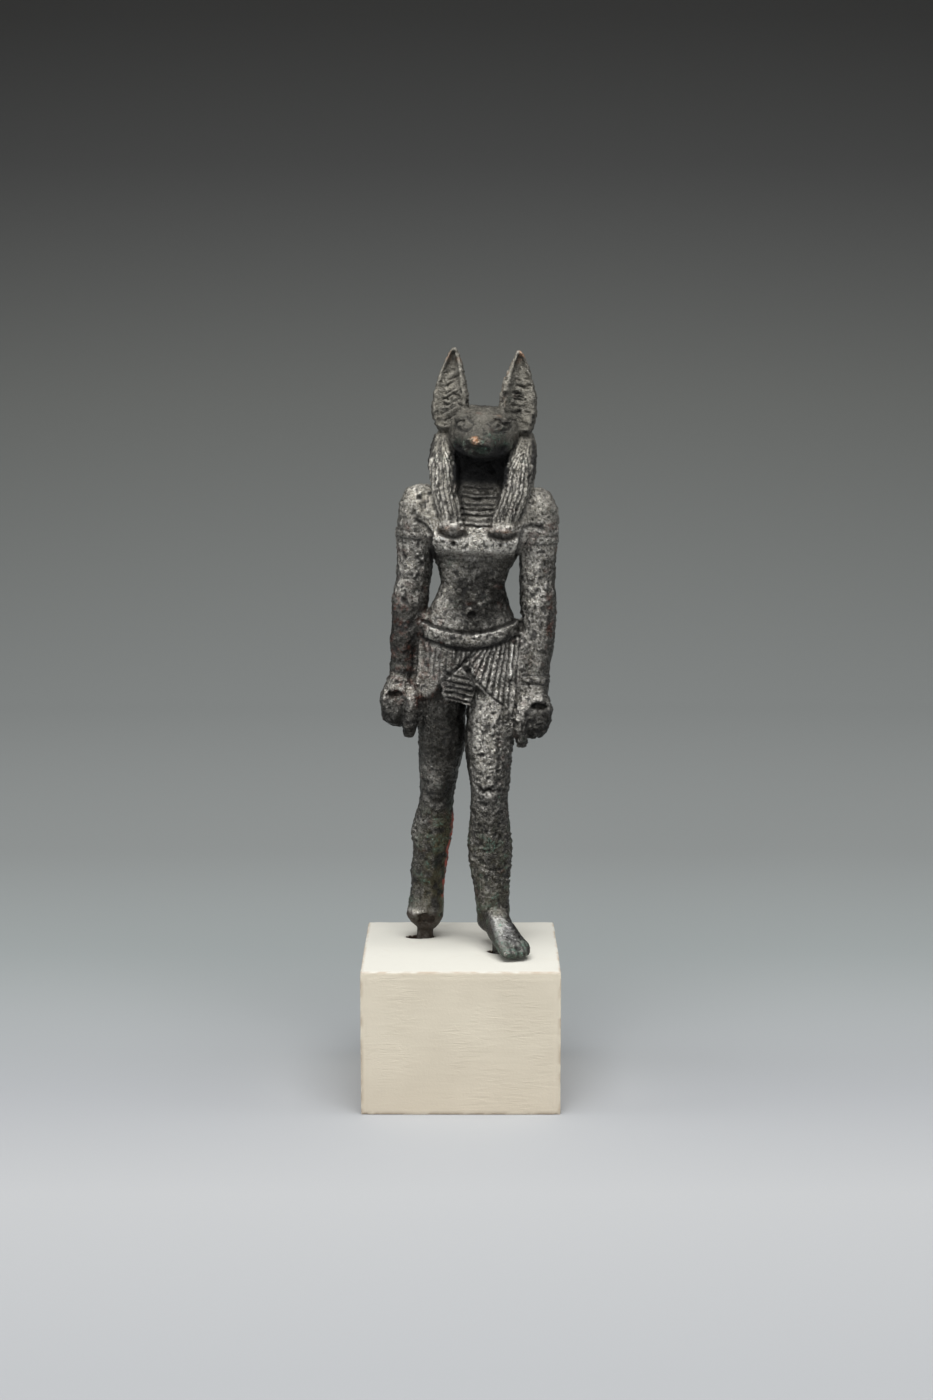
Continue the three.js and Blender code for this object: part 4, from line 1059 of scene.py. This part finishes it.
def bronze_colour(n, green):
    colour = n.layered(
        n.mix(n.ramp(n.noise(5, 4), 0.35, 0.65), METAL_DARK, METAL_LIGHT),
        (n.ramp(n.noise(0.4, 3), 0.45, 0.62, 0, 0.5), METAL_SPECKLE),
        (n.times(n.mask("ridge"), 0.7), METAL_RIDGE),
        # A painted sheen on the top of the left foot
        (n.times(n.mask("foot_sheen"), 0.6), FOOT_SHEEN_COLOUR),
    )
    # Painted light and shade, with lighter raised seams, multiply the colour
    light_shade_and_wear = n.mask("light_shade_and_wear")
    return n.layered(
        n.mix(1.0, colour, light_shade_and_wear, "MULTIPLY"),
        (n.ramp(n.noise(0.45, 3, 0.6), 0.38, 0.46, 0.7, 0), METAL_PORE),
        (n.mask("matte"), n.mix(1.0, METAL_MATTE, light_shade_and_wear, "MULTIPLY")),
        (n.times(n.mask("olive"), 0.65), METAL_OLIVE),
        (n.times(n.times(n.mask("cuprite"), n.ramp(n.noise(0.8, 3), 0.4, 0.6)), 0.75), CUPRITE),
        (n.times(green, 0.75), VERDIGRIS),
        (n.times(n.mask("verdigris"), n.ramp(n.noise(0.5, 2), 0.59, 0.67)), VERDIGRIS_SPECK),
        # Painted shade in the hollows and cuts
        (n.times(n.mask("hollow"), 0.92), HOLLOW_SHADE_COLOUR),
        (n.times(n.mask("stump"), n.ramp(n.noise(0.9, 3), 0.3, 0.7, 1.0, 0.7)), METAL_STUMP),
        (
            n.times(n.mask("copper"), n.ramp(n.noise(0.5, 2), 0.3, 0.55)),
            n.mix(n.ramp(n.noise(0.35, 2), 0.45, 0.62), COPPER_DARK, COPPER_LIGHT),
        ),
        (n.mask("paint"), RED_PAINT),
        # Painted shade under the jaw
        (n.mask("throat_shade"), THROAT_SHADE_COLOUR),
    )


def bronze_material():
    n = Nodes("dark_bronze")
    green = n.times(n.mask("verdigris"), n.ramp(n.noise(0.9, 3), 0.38, 0.6))
    # Crusts, paint, the break, and the painted shade in the hollows and under the jaw aren't metallic and are
    # rougher
    dull = n.math("MAXIMUM", green, n.times(n.mask("matte"), 0.7))
    for name in ("paint", "hollow", "stump", "throat_shade"):
        dull = n.math("MAXIMUM", dull, n.mask(name))
    rough = n.ramp(n.noise(0.7, 3), 0.35, 0.7, 0.26, 0.42)
    grainy = n.ramp(n.mask("foot_sheen"), 0, 1, 1, 0.35)
    coarse = n.bump(n.noise(0.55, 4, 0.65), 0.38, grainy)
    return n.finished({
        "Base Color": bronze_colour(n, green),
        "Metallic": n.ramp(dull, 0, 1, 0.92, 0.1),
        "Roughness": n.math("ADD", rough, n.times(dull, 0.3), clamp=True),
        "Normal": n.bump(n.noise(0.3, 2, 0.6), 0.32, grainy, under=coarse),
    })


# The paint's colours, with a lit copy for the top, and the wood's where it shows, darkened with painted shade
# in the sockets
PAINT_FRONT = (0.765, 0.69, 0.55)
PAINT_FRONT_LIGHT = (0.81, 0.735, 0.59)
PAINT_LOW = (0.70, 0.60, 0.47)
PAINT_TOP_LIT = (0.715, 0.70, 0.63)
PAINT_STREAK = (0.60, 0.51, 0.40)
PAINT_WORN = (0.50, 0.39, 0.28)
SOCKET_WOOD_SHADED = (0.045, 0.022, 0.012)


def paint_material():
    n = Nodes("cream_paint")
    streaks = n.noise(0.8, 3, 0.6, stretch=(0.16, 0.16, 1.0), distortion=1.2)
    brushed = n.ramp(n.noise(9, 2), 0.42, 0.62, 0.15, 1.0)
    colour = n.layered(
        n.mix(n.ramp(n.noise(12, 3), 0.35, 0.7), PAINT_FRONT, PAINT_FRONT_LIGHT),
        (n.times(n.mask("low"), 0.45), PAINT_LOW),
        # A lit copy of the paint on the top: painted light
        (n.mask("top"), PAINT_TOP_LIT),
        (n.times(n.ramp(streaks, 0.5, 0.8, 0, 0.2), brushed), PAINT_STREAK),
        (n.times(n.mask("wear"), 0.85), PAINT_WORN),
        # Bare wood in the sockets, darkened with painted shade
        (n.mask("socket"), SOCKET_WOOD_SHADED),
    )
    coarse = n.bump(streaks, 0.13, n.times(brushed, 0.8))
    normal = n.bump(n.noise(0.5, 3), 0.03, under=coarse)
    return n.finished({"Base Color": colour, "Roughness": 0.72, "Normal": normal})


# The studio, in mm
SWEEP_FRONT = -2600
SWEEP_BACK = 480
SWEEP_RADIUS = 420
SWEEP_TOP = 1500
SWEEP_HALF = 1300
# Its colour, with painted light and shade, at heights above the floor in metres plus 0.1, where half of a
# depth counts as height
SWEEP_LIGHT_AND_SHADE = (
    (0.035, (0.410, 0.421, 0.434)),
    (0.07, (0.466, 0.475, 0.484)),
    (0.095, (0.401, 0.413, 0.429)),
    (0.13, (0.351, 0.372, 0.376)),
    (0.15, (0.314, 0.340, 0.340)),
    (0.205, (0.291, 0.307, 0.304)),
    (0.35, (0.389, 0.409, 0.402)),
    (0.605, (0.233, 0.241, 0.230)),
    (0.78, (0.101, 0.102, 0.100)),
    (0.88, (0.056, 0.056, 0.054)),
)


def sweep_material():
    n = Nodes("pale_sweep")
    split = n.add("SeparateXYZ", {"Vector": n.add("TexCoord").outputs["Object"]})
    height = n.math("ADD", n.times(split.outputs["Y"], 0.5), split.outputs["Z"])
    ramp = n.add("ValToRGB", {"Fac": n.math("ADD", height, 0.1)})
    stops = ramp.color_ramp.elements
    for place, colour in SWEEP_LIGHT_AND_SHADE:
        stop = stops.new(place)
        stop.color = (*colour, 1)
    stops.remove(stops[0])
    stops.remove(stops[-1])
    return n.finished({"Base Color": ramp.outputs["Color"], "Roughness": 0.9})


def make_sweep():
    """A pale floor that rises behind the object, so that the camera sees no horizon, with light and shade
    painted along it.
    """
    profile = [(SWEEP_FRONT, 0), (0, 0)]
    for angle in np.linspace(0, math.pi / 2, 25):
        back = SWEEP_BACK + SWEEP_RADIUS * math.sin(angle)
        profile.append((back, SWEEP_RADIUS * (1 - math.cos(angle))))
    profile.append((SWEEP_BACK + SWEEP_RADIUS, SWEEP_TOP))
    points = [(side * SWEEP_HALF * MM, y * MM, z * MM) for y, z in profile for side in (-1, 1)]
    faces = [(2 * i, 2 * i + 1, 2 * i + 3, 2 * i + 2) for i in range(len(profile) - 1)]
    mesh = bpy.data.meshes.new("sweep")
    mesh.from_pydata(points, [], faces)
    mesh.shade_smooth()
    mesh.materials.append(sweep_material())
    floor = bpy.data.objects.new("sweep", mesh)
    bpy.context.scene.collection.objects.link(floor)


# The area lights, all aimed at one place: name, place, width and height in mm, and power in watts
LIGHTS_AIM = (0, 0, 80)
LIGHTS = (
    ("key", (20, -250, 700), (700, 580), 7.2),
    ("front", (-200, -800, 430), (240, 240), 1.0),
    ("left", (-560, -40, 300), (200, 420), 0.8),
    ("right", (560, -60, 300), (200, 420), 0.6),
)
WORLD_COLOUR = (0.75, 0.78, 0.8)
WORLD_STRENGTH = 0.06


def make_light(name, place, size, power):
    data = bpy.data.lights.new(name, "AREA")
    data.shape = "RECTANGLE"
    data.size = size[0] * MM
    data.size_y = size[1] * MM
    data.energy = power
    light = bpy.data.objects.new(name, data)
    light.location = Vector(place) * MM
    light.rotation_euler = (Vector(LIGHTS_AIM) - Vector(place)).to_track_quat("-Z", "Y").to_euler()
    bpy.context.scene.collection.objects.link(light)


def make_lights():
    for name, place, size, power in LIGHTS:
        make_light(name, place, size, power)
    world = bpy.data.worlds.new("studio")
    bpy.context.scene.world = world
    world.use_nodes = True
    background = world.node_tree.nodes["Background"]
    background.inputs["Color"].default_value = (*WORLD_COLOUR, 1)
    background.inputs["Strength"].default_value = WORLD_STRENGTH
    bpy.context.scene.view_settings.view_transform = "Standard"


make_camera()
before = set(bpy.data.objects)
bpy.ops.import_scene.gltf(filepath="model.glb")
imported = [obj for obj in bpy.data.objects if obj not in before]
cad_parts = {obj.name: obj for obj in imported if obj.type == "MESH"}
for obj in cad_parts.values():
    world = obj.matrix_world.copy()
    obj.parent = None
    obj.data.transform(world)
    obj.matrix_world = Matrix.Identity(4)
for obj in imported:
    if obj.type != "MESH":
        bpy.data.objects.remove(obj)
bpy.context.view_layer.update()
make_figure(bronze_material())
make_block(paint_material())
make_sweep()
make_lights()
